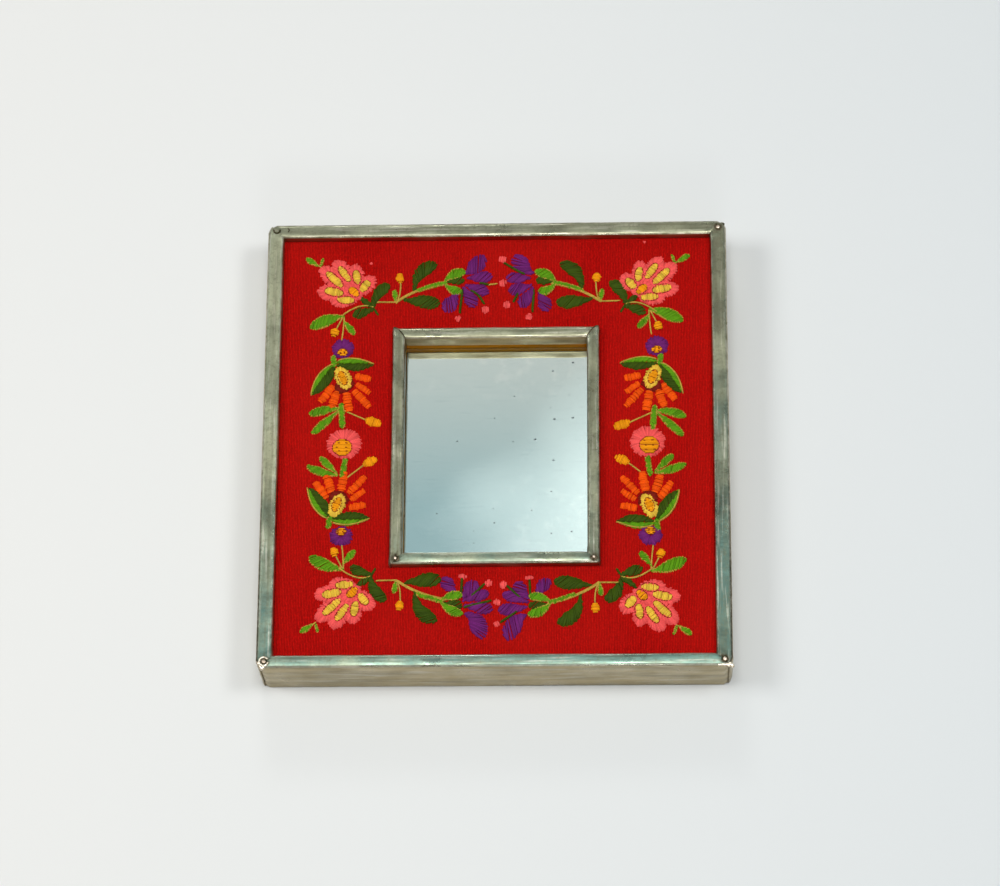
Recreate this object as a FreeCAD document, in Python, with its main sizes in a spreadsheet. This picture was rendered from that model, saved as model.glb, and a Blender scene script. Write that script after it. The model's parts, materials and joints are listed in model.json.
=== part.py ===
import FreeCAD, Part
import math
import os

import Sketcher
from FreeCAD import Rotation, Vector

# A tin-edged wall mirror lying on its back: a shallow pine box with an embroidered red cloth
# round a small sunken mirror, bright tin folded over the outer rim and over the opening's edge,
# and a D-ring hanger in the recess at the back.
# +Z is the way the mirror faces, +Y is its top, and the origin is under the middle of its back.
# All lengths are in millimetres.

SIDES = ("top", "bottom", "left", "right")
SIGN = {"top": "", "right": "", "bottom": "-", "left": "-"}
ACROSS = {"top": ("left", "right"), "bottom": ("left", "right"),
          "left": ("bottom", "top"), "right": ("bottom", "top")}

DRIVING_SIZES = {
    # the whole box
    "overall_width": 310,
    "overall_height": 314.5,
    "overall_depth": 43.5,
    # the tin sheet and the outer rim
    "tin_sheet": 0.5,
    "rim_left_width": 10.5,
    "rim_right_width": 10.5,
    "rim_top_width": 10,
    "rim_bottom_width": 9,
    "rim_corner_radius": 6,
    "rim_edge_radius": 2.8,
    "hem_width": 7,
    # the cloth and the board under it
    "cloth_drop": 6.5,
    "cloth_thickness": 0.6,
    "panel_thickness": 4,
    # the opening, its tin trim and the well behind it
    "opening_width": 122,
    "opening_height": 151,
    "opening_drop": 2.75,
    "trim_width": 8.3,
    "trim_edge_radius": 3,
    "trim_wall_depth": 13.5,
    "well_depth": 18.5,
    # what lies behind the well
    "glass_thickness": 3,
    "glass_lap": 6,
    "card_thickness": 2,
    "board_thickness": 3,
    "batten_width": 14,
    # nails at the corners of the rim
    "rim_nail_head": 1.9,
    "rim_nail_rise": 0.8,
    "rim_nail_shank": 0.7,
    "rim_nail_length": 12,
    # nails at the corners of the trim
    "trim_nail_head": 1.5,
    "trim_nail_rise": 0.7,
    "trim_nail_shank": 0.6,
    "trim_nail_length": 9,
    # nails through the back board, and through the hanger's strap
    "back_nail_head": 1.8,
    "back_nail_rise": 0.7,
    "back_nail_shank": 0.6,
    "back_nail_length": 10,
    # the hanger
    "block_width": 40,
    "block_reach_share": 0.564,
    "hanger_room": 24,
    "strap_width": 8,
    "strap_length": 18,
    "strap_thickness": 1,
    "strap_nail_near": 5.5,
    "strap_nail_far": 14.5,
    "ring_wire": 1.8,
    "ring_clearance": 0.3,
    "ring_half_width": 9,
    "ring_corner_radius": 2.2,
    # the thread stands this far above the cloth, and the upper thread above the lower
    "thread_height": 0.6,
    "upper_thread_height": 0.4,
    # how far cutting shapes run past what they cut
    "overrun": 1,
}

DERIVED_SIZES = {
    "half_width": "overall_width / 2",
    "half_height": "overall_height / 2",
    "middle_depth": "overall_depth / 2",
    "above_front": "overall_depth + overrun",
    "below_back": "0 - overrun",
    "run_length": "overall_width + overall_height",
    "core_front": "overall_depth - tin_sheet",
    "corner_x": "half_width - rim_corner_radius",
    "corner_y": "half_height - rim_corner_radius",
    "core_half_width": "half_width - tin_sheet",
    "core_half_height": "half_height - tin_sheet",
    "core_depth": "overall_depth - 2 * tin_sheet",
    "core_corner_radius": "rim_corner_radius - tin_sheet",
    "core_edge_radius": "rim_edge_radius - tin_sheet",
    "hem_x": "half_width - hem_width",
    "hem_y": "half_height - hem_width",
    "rim_round_z": "overall_depth - rim_edge_radius",
    "trim_round_z": "overall_depth - trim_edge_radius",
    "trim_inside_radius": "trim_edge_radius - tin_sheet",
    "trim_wall_z": "overall_depth - trim_wall_depth",
    "cloth_top": "overall_depth - cloth_drop",
    "panel_top": "cloth_top - cloth_thickness",
    "panel_bottom": "panel_top - panel_thickness",
    "glass_front": "overall_depth - well_depth",
    "card_front": "glass_front - glass_thickness",
    "board_front": "card_front - card_thickness",
    "board_back": "board_front - board_thickness",
    "trim_inner_left": "opening_width / 2",
    "trim_inner_right": "opening_width / 2",
    "trim_inner_top": "opening_height / 2 - opening_drop",
    "trim_inner_bottom": "opening_height / 2 + opening_drop",
    "half_block": "block_width / 2",
    "half_strap": "strap_width / 2",
    "ring_bore": "ring_wire / 2 + ring_clearance",
    "strap_eye": "ring_bore + strap_thickness",
    "ring_radius": "ring_wire / 2",
    "ring_bar": "ring_half_width - ring_corner_radius",
    "ring_drop": "ring_half_width + ring_corner_radius",
    "hinge_z": "board_back - strap_eye",
    "strap_face": "board_back - strap_thickness",
}

for side in SIDES:
    edge = "half_width" if side in ("left", "right") else "half_height"
    DERIVED_SIZES.update({
        f"rim_inner_{side}": f"{edge} - rim_{side}_width",
        f"rim_core_{side}": f"rim_inner_{side} + tin_sheet",
        f"rim_flat_{side}": f"rim_inner_{side} + rim_edge_radius",
        f"rim_far_{side}": f"{edge} + rim_{side}_width",
        f"batten_{side}": f"rim_core_{side} - batten_width",
        f"trim_outer_{side}": f"trim_inner_{side} + trim_width",
        f"trim_flat_in_{side}": f"trim_inner_{side} + trim_edge_radius",
        f"trim_flat_out_{side}": f"trim_outer_{side} - trim_edge_radius",
        f"trim_far_{side}": f"trim_outer_{side} + trim_width",
        f"slat_inner_{side}": f"trim_inner_{side} + tin_sheet",
        f"slat_outer_{side}": f"trim_outer_{side} - tin_sheet",
        f"glass_{side}": f"slat_inner_{side} + glass_lap",
        f"rim_nail_{side}": f"({edge} + rim_inner_{side}) / 2",
        f"trim_nail_{side}": f"(trim_outer_{side} + trim_inner_{side}) / 2",
        f"back_nail_{side}": f"rim_core_{side} - batten_width / 2",
    })
for nail_kind in ("rim_nail", "trim_nail", "back_nail"):
    DERIVED_SIZES[f"{nail_kind}_half_rise"] = f"{nail_kind}_rise / 2"
    DERIVED_SIZES[f"{nail_kind}_crown"] = f"{nail_kind}_head - {nail_kind}_half_rise"

DERIVED_SIZES["hinge_y"] = "rim_core_top - hanger_room"
DERIVED_SIZES["block_bottom"] = "batten_top - block_reach_share * (batten_top - slat_outer_top)"

# Where the back board's nails stand, as shares of the half width and of the half height.
BACK_NAIL_SIDE_SHARES = (-0.66, 0, 0.66)
BACK_NAIL_END_SHARES = (-0.45, 0.45)

# The embroidery is drawn in shares of a pattern width and a pattern height: the first is a share
# of the cloth's band beside the opening, and the second of its bands above and below it.
PATTERN_WIDTH_SHARE = 1.33
PATTERN_HEIGHT_SHARE = 1.564

# Where each motif is anchored in each quarter, out from the middle of the opening.
# A share up to 1 lies beside the opening, and one from 1 to 2 lies between trim and rim.
ANCHOR_SHARES = {
    ("left", "top"): {
        "corner_flower": (1.37, 1.42), "corner_sprig": (1.66, 1.71), "knot": (1.18, 1.26),
        "branch": (1.45, 1.17), "pansy": (1.45, 0.85), "leaf_pair": (1.52, 0.72),
        "orange_flower": (1.44, 0.59), "twigs": (1.46, 0.34), "round_flower": (1.42, 0.03),
        "long_stem": (1.13, 1.32), "calyx": (0.49, 1.53), "near_dots": (0.49, 1.53),
    },
    ("right", "top"): {
        "corner_flower": (1.39, 1.42), "corner_sprig": (1.67, 1.71), "knot": (1.23, 1.27),
        "branch": (1.45, 1.21), "pansy": (1.51, 0.85), "leaf_pair": (1.53, 0.71),
        "orange_flower": (1.47, 0.58), "twigs": (1.49, 0.30), "round_flower": (1.42, 0.03),
        "long_stem": (1.16, 1.31), "calyx": (0.58, 1.52), "near_dots": (0.58, 1.52),
        "centre_dots": (0.05, 1.75),
    },
    ("left", "bottom"): {
        "corner_flower": (1.33, 1.28), "corner_sprig": (1.63, 1.61), "knot": (1.16, 1.10),
        "branch": (1.41, 1.02), "pansy": (1.43, 0.74), "leaf_pair": (1.53, 0.60),
        "orange_flower": (1.47, 0.48), "twigs": (1.46, 0.23),
        "long_stem": (1.09, 1.15), "calyx": (0.49, 1.38), "near_dots": (0.49, 1.49),
    },
    ("right", "bottom"): {
        "corner_flower": (1.37, 1.33), "corner_sprig": (1.65, 1.66), "knot": (1.18, 1.12),
        "branch": (1.45, 1.06), "pansy": (1.44, 0.75), "leaf_pair": (1.49, 0.64),
        "orange_flower": (1.43, 0.50), "twigs": (1.49, 0.23),
        "long_stem": (1.14, 1.19), "calyx": (0.49, 1.40), "near_dots": (0.49, 1.50),
        "centre_dots": (0.02, 1.62),
    },
}

# Each stitched shape of a motif: its form, its thread, its layer, its start, its end, its width
# and how far it bows. Places run out from the opening, as shares of the pattern's width and height.
MOTIF_SHARES = {
    "corner_flower": (
        ("oval", "pink", 0, (-0.05, -0.02), (0.09, 0.04), 0.13, 0),
        ("oval", "pink", 0, (-0.02, 0.04), (0.225, 0.17), 0.12, 0),
        ("oval", "pink", 0, (0, 0.03), (0.11, 0.255), 0.115, 0),
        ("oval", "pink", 0, (-0.01, 0.02), (-0.05, 0.21), 0.105, 0),
        ("oval", "pink", 0, (-0.01, 0), (-0.135, 0.105), 0.105, 0),
        ("oval", "pink", 0, (-0.04, -0.04), (0.135, -0.10), 0.11, 0),
        ("oval", "pink", 0, (0.02, 0.01), (0.235, 0.02), 0.11, 0),
        ("oval", "yellow", 1, (0.08, 0.07), (0.18, 0.15), 0.055, 0),
        ("oval", "yellow", 1, (0.03, 0.09), (0.09, 0.195), 0.05, 0),
        ("oval", "yellow", 1, (-0.02, 0.08), (-0.03, 0.175), 0.045, 0),
        ("oval", "yellow", 1, (-0.05, 0.03), (-0.11, 0.09), 0.055, 0),
        ("oval", "yellow", 1, (0.06, 0), (0.18, 0.04), 0.048, 0),
        ("oval", "yellow", 1, (0, -0.055), (0.10, -0.045), 0.045, 0),
        ("oval", "gold", 1, (-0.03, -0.02), (0.03, 0.02), 0.05, 0),
    ),
    "corner_sprig": (
        ("stem", "stem_green", 0, (0, 0), (0.07, 0.05), 0.016, 0),
        ("oval", "bright_green", 0, (0.05, 0.035), (0.11, 0.07), 0.046, 0),
        ("stem", "bright_green", 0, (0.005, 0.01), (-0.005, 0.07), 0.018, 0),
    ),
    "knot": (
        ("drop", "dark_green", 0, (-0.01, -0.03), (-0.09, 0.17), 0.08, 0.015),
        ("drop", "dark_green", 0, (0.02, 0.01), (0.14, -0.06), 0.07, 0),
        ("lens", "dark_green", 0, (0.09, 0.08), (0.01, -0.01), 0.03, 0),
        ("stem", "stem_green", 0, (0.01, 0.01), (0.20, -0.05), 0.017, 0.025),
    ),
    "branch": (
        ("drop", "bright_green", 0, (0, 0), (0.22, -0.09), 0.075, 0),
        ("stem", "stem_green", 0, (0, 0), (0.05, -0.09), 0.015, 0),
        ("oval", "gold", 0, (0.05, -0.09), (0.07, -0.145), 0.055, 0),
        ("stem", "stem_green", 0, (-0.005, 0), (0.015, -0.17), 0.015, 0),
        ("drop", "bright_green", 0, (0, -0.04), (-0.08, -0.13), 0.036, 0),
    ),
    "pansy": (
        ("oval", "purple", 0, (-0.074, 0), (0.074, 0), 0.135, 0),
        ("oval", "gold", 1, (-0.03, -0.028), (0.03, -0.022), 0.046, 0),
    ),
    "leaf_pair": (
        ("stem", "bright_green", 0, (0, -0.01), (0.01, 0.06), 0.03, 0),
        ("lens", "bright_green", 0, (-0.015, 0.005), (-0.255, -0.005), 0.036, -0.018),
        ("lens", "dark_green", 0, (-0.01, -0.005), (-0.26, -0.01), 0.040, 0.023),
        ("lens", "bright_green", 0, (0.005, -0.01), (0.145, -0.22), 0.036, 0.036),
        ("lens", "dark_green", 0, (0, -0.015), (0.14, -0.215), 0.07, -0.022),
    ),
    "orange_flower": (
        ("oval", "yellow", 0, (0.03, 0.08), (-0.025, -0.075), 0.10, 0),
        ("oval", "gold", 1, (0.02, 0.045), (-0.01, -0.055), 0.06, 0),
        ("oval", "maroon", 0, (0.01, 0.02), (-0.03, -0.095), 0.155, 0),
        ("oval", "orange", 0, (-0.085, 0.025), (-0.19, 0), 0.05, 0),
        ("oval", "orange", 0, (-0.09, -0.03), (-0.18, -0.105), 0.042, 0),
        ("oval", "orange", 0, (-0.07, -0.08), (-0.185, -0.205), 0.046, 0),
        ("oval", "orange", 0, (-0.03, -0.09), (-0.055, -0.235), 0.052, 0),
        ("oval", "orange", 0, (0.035, -0.085), (0.075, -0.215), 0.06, 0),
        ("oval", "orange", 0, (0.07, -0.035), (0.15, -0.165), 0.055, 0),
    ),
    "twigs": (
        ("drop", "bright_green", 0, (0.01, -0.01), (0.20, -0.05), 0.052, 0),
        ("drop", "bright_green", 0, (0.015, -0.01), (0.19, -0.18), 0.048, 0),
        ("stem", "bright_green", 0, (0, 0.03), (-0.015, -0.14), 0.026, 0),
        ("stem", "stem_green", 0, (-0.01, -0.01), (-0.17, -0.09), 0.015, 0),
        ("oval", "gold", 0, (-0.175, -0.09), (-0.285, -0.125), 0.064, 0),
    ),
    "round_flower": (
        ("oval", "pink", 0, (-0.115, 0.005), (0.115, 0.005), 0.21, 0),
        ("oval", "gold", 1, (-0.06, -0.03), (0.06, -0.03), 0.105, 0),
    ),
    "long_stem": (
        ("stem", "stem_green", 0, (0, 0), (-0.12, 0), 0.019, 0),
        ("stem", "stem_green", 0, (-0.12, 0), (-0.44, 0.14), 0.022, -0.02),
        ("stem", "bright_green", 0, (-0.11, 0.01), (-0.10, 0.08), 0.022, 0),
        ("stem", "stem_green", 0, (-0.12, 0.02), (-0.14, 0.15), 0.013, 0),
        ("oval", "gold", 0, (-0.14, 0.145), (-0.14, 0.215), 0.052, 0),
        ("drop", "dark_green", 0, (-0.25, 0.10), (-0.37, 0.26), 0.085, -0.045),
        ("drop", "dark_green", 0, (-0.17, 0.01), (-0.41, -0.01), 0.10, 0),
    ),
    "calyx": (
        ("drop", "bright_green", 0, (0.01, 0), (-0.125, 0.08), 0.065, 0),
        ("drop", "bright_green", 0, (0.01, -0.01), (-0.10, -0.07), 0.055, 0),
        ("drop", "dark_green", 0, (-0.01, 0), (-0.10, 0.01), 0.05, 0),
        ("stem", "bright_green", 0, (0.06, -0.02), (0, 0), 0.03, 0),
        ("oval", "purple", 0, (-0.16, 0.09), (-0.25, 0.20), 0.095, 0),
        ("oval", "purple", 0, (-0.14, 0.05), (-0.31, 0.035), 0.08, 0),
        ("oval", "purple", 0, (-0.12, -0.02), (-0.29, -0.09), 0.075, 0),
        ("oval", "purple", 0, (-0.14, -0.04), (-0.19, -0.18), 0.075, 0),
        ("oval", "purple", 0, (-0.08, -0.09), (0.01, -0.21), 0.08, 0),
        ("stem", "dark_green", 0, (-0.11, -0.08), (-0.09, -0.23), 0.016, 0),
        ("stem", "dark_green", 0, (-0.22, -0.09), (-0.26, -0.18), 0.012, 0),
    ),
    "near_dots": (
        ("oval", "pink", 0, (-0.06, -0.26), (-0.10, -0.23), 0.035, 0),
        ("oval", "pink", 0, (-0.245, -0.205), (-0.29, -0.205), 0.045, 0),
    ),
    "centre_dots": (
        ("oval", "pink", 0, (-0.02, 0.02), (0.03, 0.025), 0.04, 0),
        ("oval", "pink", 0, (-0.02, -0.155), (0.03, -0.145), 0.038, 0),
    ),
}

# Where two threads of one layer would meet, the one named first lies whole.
THREAD_ORDER = ("gold", "yellow", "orange", "pink", "purple", "bright_green", "dark_green",
                "stem_green", "maroon")

# A drop-shaped leaf: how far along its widest place lies, and how wide it is halfway to that place
# and halfway from there to its tip, as shares of its length and of its width.
DROP_WIDEST_SHARE = 0.66
DROP_BASE_SHARE = 0.8
DROP_TIP_SHARE = 0.8

# Two places that differ by less than this are one place.
SAME_PLACE = 1e-6

document = FreeCAD.newDocument("tin_mirror")
pieces = []


def make_sheet():
    sheet = document.addObject("Spreadsheet::Sheet", "Sizes")
    rows = list(DRIVING_SIZES.items())
    rows += [(name, "=" + formula) for name, formula in DERIVED_SIZES.items()]
    for row, (name, content) in enumerate(rows, start=1):
        sheet.set(f"A{row}", name)
        sheet.set(f"B{row}", str(content))
        sheet.setAlias(f"B{row}", name)
    document.recompute()
    return sheet


sheet = make_sheet()


def number(text):
    """The value of a named size, which may have a minus sign before it."""
    if text == "0":
        return 0.0
    if text.startswith("-"):
        return -float(sheet.get(text[1:]))
    return float(sheet.get(text))


def bound(text):
    """The expression that ties a property to a named size."""
    if text == "0":
        return "0"
    return text.replace("-", "-Sizes.") if text.startswith("-") else "Sizes." + text


def keep(shape_object, name):
    shape_object.Label = name
    pieces.append(shape_object)
    return shape_object


def combine(kind, name, shapes):
    """A boolean of several shapes: Cut takes the second from the first."""
    result = document.addObject("Part::" + kind, name)
    if kind == "Cut":
        result.Base, result.Tool = shapes
    else:
        result.Shapes = shapes
    return result


def box_between(name, x_range, y_range, z_range):
    """A box whose six faces each follow a named size."""
    box = document.addObject("Part::Box", name)
    ranges = {"x": x_range, "y": y_range, "z": z_range}
    lengths = {"x": "Length", "y": "Width", "z": "Height"}
    for axis, (low, high) in ranges.items():
        box.setExpression(f"Placement.Base.{axis}", bound(low))
        box.setExpression(lengths[axis], f"({bound(high)}) - ({bound(low)})")
    return box


def origin_plane(body, role):
    return next(feature for feature in body.Origin.OriginFeatures if feature.Role == role)


def arc_between(start, end, centre):
    """The shorter arc from start to end round centre."""
    radius = (start - centre).Length
    middle_way = (start - centre) + (end - centre)
    middle = centre + middle_way.normalize() * radius
    return Part.Arc(start, middle, end)


def add_outline(sketch, outline):
    """Draws a closed outline whose every corner and radius is tied to named sizes.

    Each corner is (x, y, radius, kind). The run to the next corner is straight without a radius;
    an arc's centre shares x with this corner for kind "x" and y with it for kind "y".
    """
    places = [Vector(number(x), number(y), 0) for x, y, _, _ in outline]
    runs = []
    for index, (_, _, radius, kind) in enumerate(outline):
        start = places[index]
        end = places[(index + 1) % len(places)]
        if radius is None:
            runs.append((sketch.addGeometry(Part.LineSegment(start, end), False), 1, 2))
            continue
        centre = Vector(start.x, end.y, 0) if kind == "x" else Vector(end.x, start.y, 0)
        geometry = sketch.addGeometry(arc_between(start, end, centre), False)
        first = sketch.getPoint(geometry, 1)
        starts_first = (first - start).Length < (first - end).Length
        runs.append((geometry, 1, 2) if starts_first else (geometry, 2, 1))
    for index, (geometry, first, _) in enumerate(runs):
        previous, _, previous_last = runs[index - 1]
        sketch.addConstraint(Sketcher.Constraint("Coincident", previous, previous_last, geometry, first))
    for (geometry, first, _), (x, y, radius, kind) in zip(runs, outline):
        for direction, text in (("DistanceX", x), ("DistanceY", y)):
            constraint = Sketcher.Constraint(direction, -1, 1, geometry, first, number(text))
            index = sketch.addConstraint(constraint)
            sketch.setExpression(f"Constraints[{index}]", bound(text))
        if radius is not None:
            index = sketch.addConstraint(Sketcher.Constraint("Radius", geometry, number(radius)))
            sketch.setExpression(f"Constraints[{index}]", bound(radius))


def add_circle(sketch, radius):
    """A circle round the sketch's origin."""
    circle = Part.Circle(Vector(0, 0, 0), Vector(0, 0, 1), number(radius))
    geometry = sketch.addGeometry(circle, False)
    sketch.addConstraint(Sketcher.Constraint("Coincident", geometry, 3, -1, 1))
    index = sketch.addConstraint(Sketcher.Constraint("Radius", geometry, number(radius)))
    sketch.setExpression(f"Constraints[{index}]", bound(radius))


def new_sketch(body, name, role, lift="0"):
    sketch = body.newObject("Sketcher::SketchObject", name)
    sketch.AttachmentSupport = (origin_plane(body, role), [""])
    sketch.MapMode = "FlatFace"
    sketch.setExpression("AttachmentOffset.Base.z", bound(lift))
    return sketch


def padded_body(name, role, outlines, length, lift="0", symmetric=False):
    """A body made by padding closed outlines: the first is the outside, the others are holes."""
    body = document.addObject("PartDesign::Body", name)
    sketch = new_sketch(body, name + "_sketch", role, lift)
    for outline in outlines:
        add_outline(sketch, outline)
    pad = body.newObject("PartDesign::Pad", name + "_pad")
    pad.Profile = sketch
    pad.SideType = "Symmetric" if symmetric else "One side"
    pad.setExpression("Length", bound(length))
    document.recompute()
    return body, pad


def rounded_rectangle(half_x, half_y, corner_x, corner_y, radius):
    return (
        ("-" + corner_x, "-" + half_y, None, None), (corner_x, "-" + half_y, radius, "x"),
        (half_x, "-" + corner_y, None, None), (half_x, corner_y, radius, "y"),
        (corner_x, half_y, None, None), ("-" + corner_x, half_y, radius, "x"),
        ("-" + half_x, corner_y, None, None), ("-" + half_x, "-" + corner_y, radius, "y"),
    )


def rectangle(left, right, bottom, top):
    return ((left, bottom, None, None), (right, bottom, None, None),
            (right, top, None, None), (left, top, None, None))


def edge_rectangle(name):
    """The rectangle whose four sides carry one name, such as slat_outer."""
    return rectangle(f"-{name}_left", f"{name}_right", f"-{name}_bottom", f"{name}_top")


def round_front_edge(body, pad, front, radius):
    """Rounds the front edge of a block all the way round."""
    names = [f"Edge{index}" for index, edge in enumerate(pad.Shape.Edges, start=1)
             if all(abs(vertex.Z - number(front)) < SAME_PLACE for vertex in edge.Vertexes)]
    fillet = body.newObject("PartDesign::Fillet", body.Name + "_fillet")
    fillet.Base = (pad, names)
    fillet.setExpression("Radius", bound(radius))


def side_text(side, name):
    """A size of one side, measured from the middle, with the sign of that side."""
    return f"{SIGN[side]}{name}_{side}"


def strip_body(name, side, outline):
    """A long strip along one side, from an outline of (distance out, height, radius, kind)."""
    role = "YZ_Plane" if side in ("top", "bottom") else "XZ_Plane"
    placed = [(side_text(side, out), z, radius, kind) for out, z, radius, kind in outline]
    return padded_body(name, role, [placed], "run_length", symmetric=True)[0]


def mitre_block(name, side, inner, outer):
    """A block that keeps what lies between the two mitres of one side."""
    low, high = ACROSS[side]
    corners = ((f"-{inner}_{low}", side_text(side, inner)), (f"{inner}_{high}", side_text(side, inner)),
               (f"{outer}_{high}", side_text(side, outer)), (f"-{outer}_{low}", side_text(side, outer)))
    if side in ("left", "right"):
        corners = [(out, along) for along, out in corners]
    outline = [(x, y, None, None) for x, y in corners]
    return padded_body(name, "XY_Plane", [outline], "run_length", symmetric=True)[0]


def make_nail(kind):
    """One nail standing on the origin, its shank below and its domed head above."""
    body = document.addObject("PartDesign::Body", kind + "_pattern")
    sketch = new_sketch(body, kind + "_sketch", "XZ_Plane")
    shank, head, rise, length = (f"{kind}_{size}" for size in ("shank", "head", "rise", "length"))
    add_outline(sketch, (
        ("0", "-" + length, None, None), (shank, "-" + length, None, None), (shank, "0", None, None),
        (head, "0", None, None), (head, kind + "_half_rise", kind + "_half_rise", "y"),
        (kind + "_crown", rise, None, None), ("0", rise, None, None),
    ))
    turned = body.newObject("PartDesign::Revolution", kind + "_turned")
    turned.Profile = sketch
    turned.ReferenceAxis = (sketch, ["V_Axis"])
    document.recompute()
    return body


def nail_group(name, nail, places, head_down=False):
    """Copies of one nail at the given places, kept as one group of separate solids."""
    turn = Rotation(Vector(1, 0, 0), 180 if head_down else 0)
    copies = []
    for place in places:
        copy = nail.Shape.copy()
        copy.Placement = FreeCAD.Placement(place, turn)
        copies.append(copy)
    group = document.addObject("Part::Feature", name)
    group.Shape = Part.makeCompound(copies)
    return keep(group, name)


def corner_places(kind, height):
    return [Vector(number(f"{x_sign}{kind}_{x_side}"), number(f"{y_sign}{kind}_{y_side}"), number(height))
            for x_side, x_sign in (("left", "-"), ("right", ""))
            for y_side, y_sign in (("bottom", "-"), ("top", ""))]


def back_nail_places():
    places = []
    for x_text in ("-back_nail_left", "back_nail_right"):
        for share in BACK_NAIL_SIDE_SHARES:
            places.append(Vector(number(x_text), share * number("half_height"), number("board_back")))
    for y_text in ("-back_nail_bottom", "back_nail_top"):
        for share in BACK_NAIL_END_SHARES:
            places.append(Vector(share * number("half_width"), number(y_text), number("board_back")))
    return places


def make_nails():
    rim = nail_group("rim_nails", make_nail("rim_nail"), corner_places("rim_nail", "overall_depth"))
    trim = nail_group("trim_nails", make_nail("trim_nail"), corner_places("trim_nail", "overall_depth"))
    back_nail = make_nail("back_nail")
    back = nail_group("back_nails", back_nail, back_nail_places(), head_down=True)
    hanger_places = [Vector(0, number("hinge_y") - number(step), number("strap_face"))
                     for step in ("strap_nail_near", "strap_nail_far")]
    hanger = nail_group("hanger_nails", back_nail, hanger_places, head_down=True)
    return {"rim": rim, "trim": trim, "back": back, "hanger": hanger}


def make_rim(nails):
    """The pine rails of the box and the tin folded over them."""
    block, block_pad = padded_body("outer_block", "XY_Plane", [rounded_rectangle(
        "half_width", "half_height", "corner_x", "corner_y", "rim_corner_radius")], "overall_depth")
    round_front_edge(block, block_pad, "overall_depth", "rim_edge_radius")
    core, core_pad = padded_body("core_block", "XY_Plane", [rounded_rectangle(
        "core_half_width", "core_half_height", "corner_x", "corner_y", "core_corner_radius")],
        "core_depth", lift="tin_sheet")
    round_front_edge(core, core_pad, "core_front", "core_edge_radius")
    skin = combine("Cut", "tin_skin", [block, core])
    front_hole = box_between("front_hole", ("-rim_flat_left", "rim_flat_right"),
                             ("-rim_flat_bottom", "rim_flat_top"), ("middle_depth", "above_front"))
    back_hole = box_between("back_hole", ("-hem_x", "hem_x"), ("-hem_y", "hem_y"),
                            ("below_back", "middle_depth"))
    holes = combine("MultiFuse", "tin_holes", [front_hole, back_hole])
    open_skin = combine("Cut", "open_tin_skin", [skin, holes])
    for side in SIDES:
        mitre = mitre_block(f"rim_mitre_{side}", side, "rim_inner", "rim_far")
        lip = strip_body(f"rim_lip_{side}", side, (
            ("rim_inner", "cloth_top", None, None), ("rim_inner", "rim_round_z", "rim_edge_radius", "y"),
            ("rim_flat", "overall_depth", None, None), ("rim_flat", "core_front", "core_edge_radius", "x"),
            ("rim_core", "rim_round_z", None, None), ("rim_core", "cloth_top", None, None),
        ))
        skin_part = combine("MultiCommon", f"rim_skin_{side}", [open_skin, mitre])
        lip_part = combine("MultiCommon", f"rim_fold_{side}", [lip, mitre])
        tin = combine("MultiFuse", f"rim_tin_{side}", [skin_part, lip_part])
        keep(combine("Cut", f"rim_cut_{side}", [tin, nails["rim"]]), f"tin_rim_{side}")
        bar = strip_body(f"rail_bar_{side}", side, (
            ("rim_core", "tin_sheet", None, None), ("rim_core", "rim_round_z", "core_edge_radius", "y"),
            ("rim_flat", "core_front", None, None), ("rim_far", "core_front", None, None),
            ("rim_far", "tin_sheet", None, None),
        ))
        rail = combine("MultiCommon", f"rail_shape_{side}", [core, bar, mitre])
        keep(combine("Cut", f"rail_cut_{side}", [rail, nails["rim"]]), f"rail_{side}")


def make_trim(nails):
    """The four slats of the well and the tin folded over their front edges."""
    for side in SIDES:
        mitre = mitre_block(f"trim_mitre_{side}", side, "trim_inner", "trim_far")
        fold = strip_body(f"trim_fold_{side}", side, (
            ("trim_outer", "cloth_top", None, None), ("trim_outer", "trim_round_z", "trim_edge_radius", "y"),
            ("trim_flat_out", "overall_depth", None, None),
            ("trim_flat_in", "overall_depth", "trim_edge_radius", "x"),
            ("trim_inner", "trim_round_z", None, None), ("trim_inner", "trim_wall_z", None, None),
            ("slat_inner", "trim_wall_z", None, None), ("slat_inner", "trim_round_z", "trim_inside_radius", "y"),
            ("trim_flat_in", "core_front", None, None),
            ("trim_flat_out", "core_front", "trim_inside_radius", "x"),
            ("slat_outer", "trim_round_z", None, None), ("slat_outer", "cloth_top", None, None),
        ))
        tin = combine("MultiCommon", f"trim_tin_{side}", [fold, mitre])
        keep(combine("Cut", f"trim_cut_{side}", [tin, nails["trim"]]), f"tin_trim_{side}")
        bar = strip_body(f"slat_bar_{side}", side, (
            ("slat_inner", "glass_front", None, None), ("slat_inner", "trim_round_z", "trim_inside_radius", "y"),
            ("trim_flat_in", "core_front", None, None),
            ("trim_flat_out", "core_front", "trim_inside_radius", "x"),
            ("slat_outer", "trim_round_z", None, None), ("slat_outer", "glass_front", None, None),
        ))
        slat = combine("MultiCommon", f"slat_shape_{side}", [bar, mitre])
        keep(combine("Cut", f"slat_cut_{side}", [slat, nails["trim"]]), f"well_slat_{side}")


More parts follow.
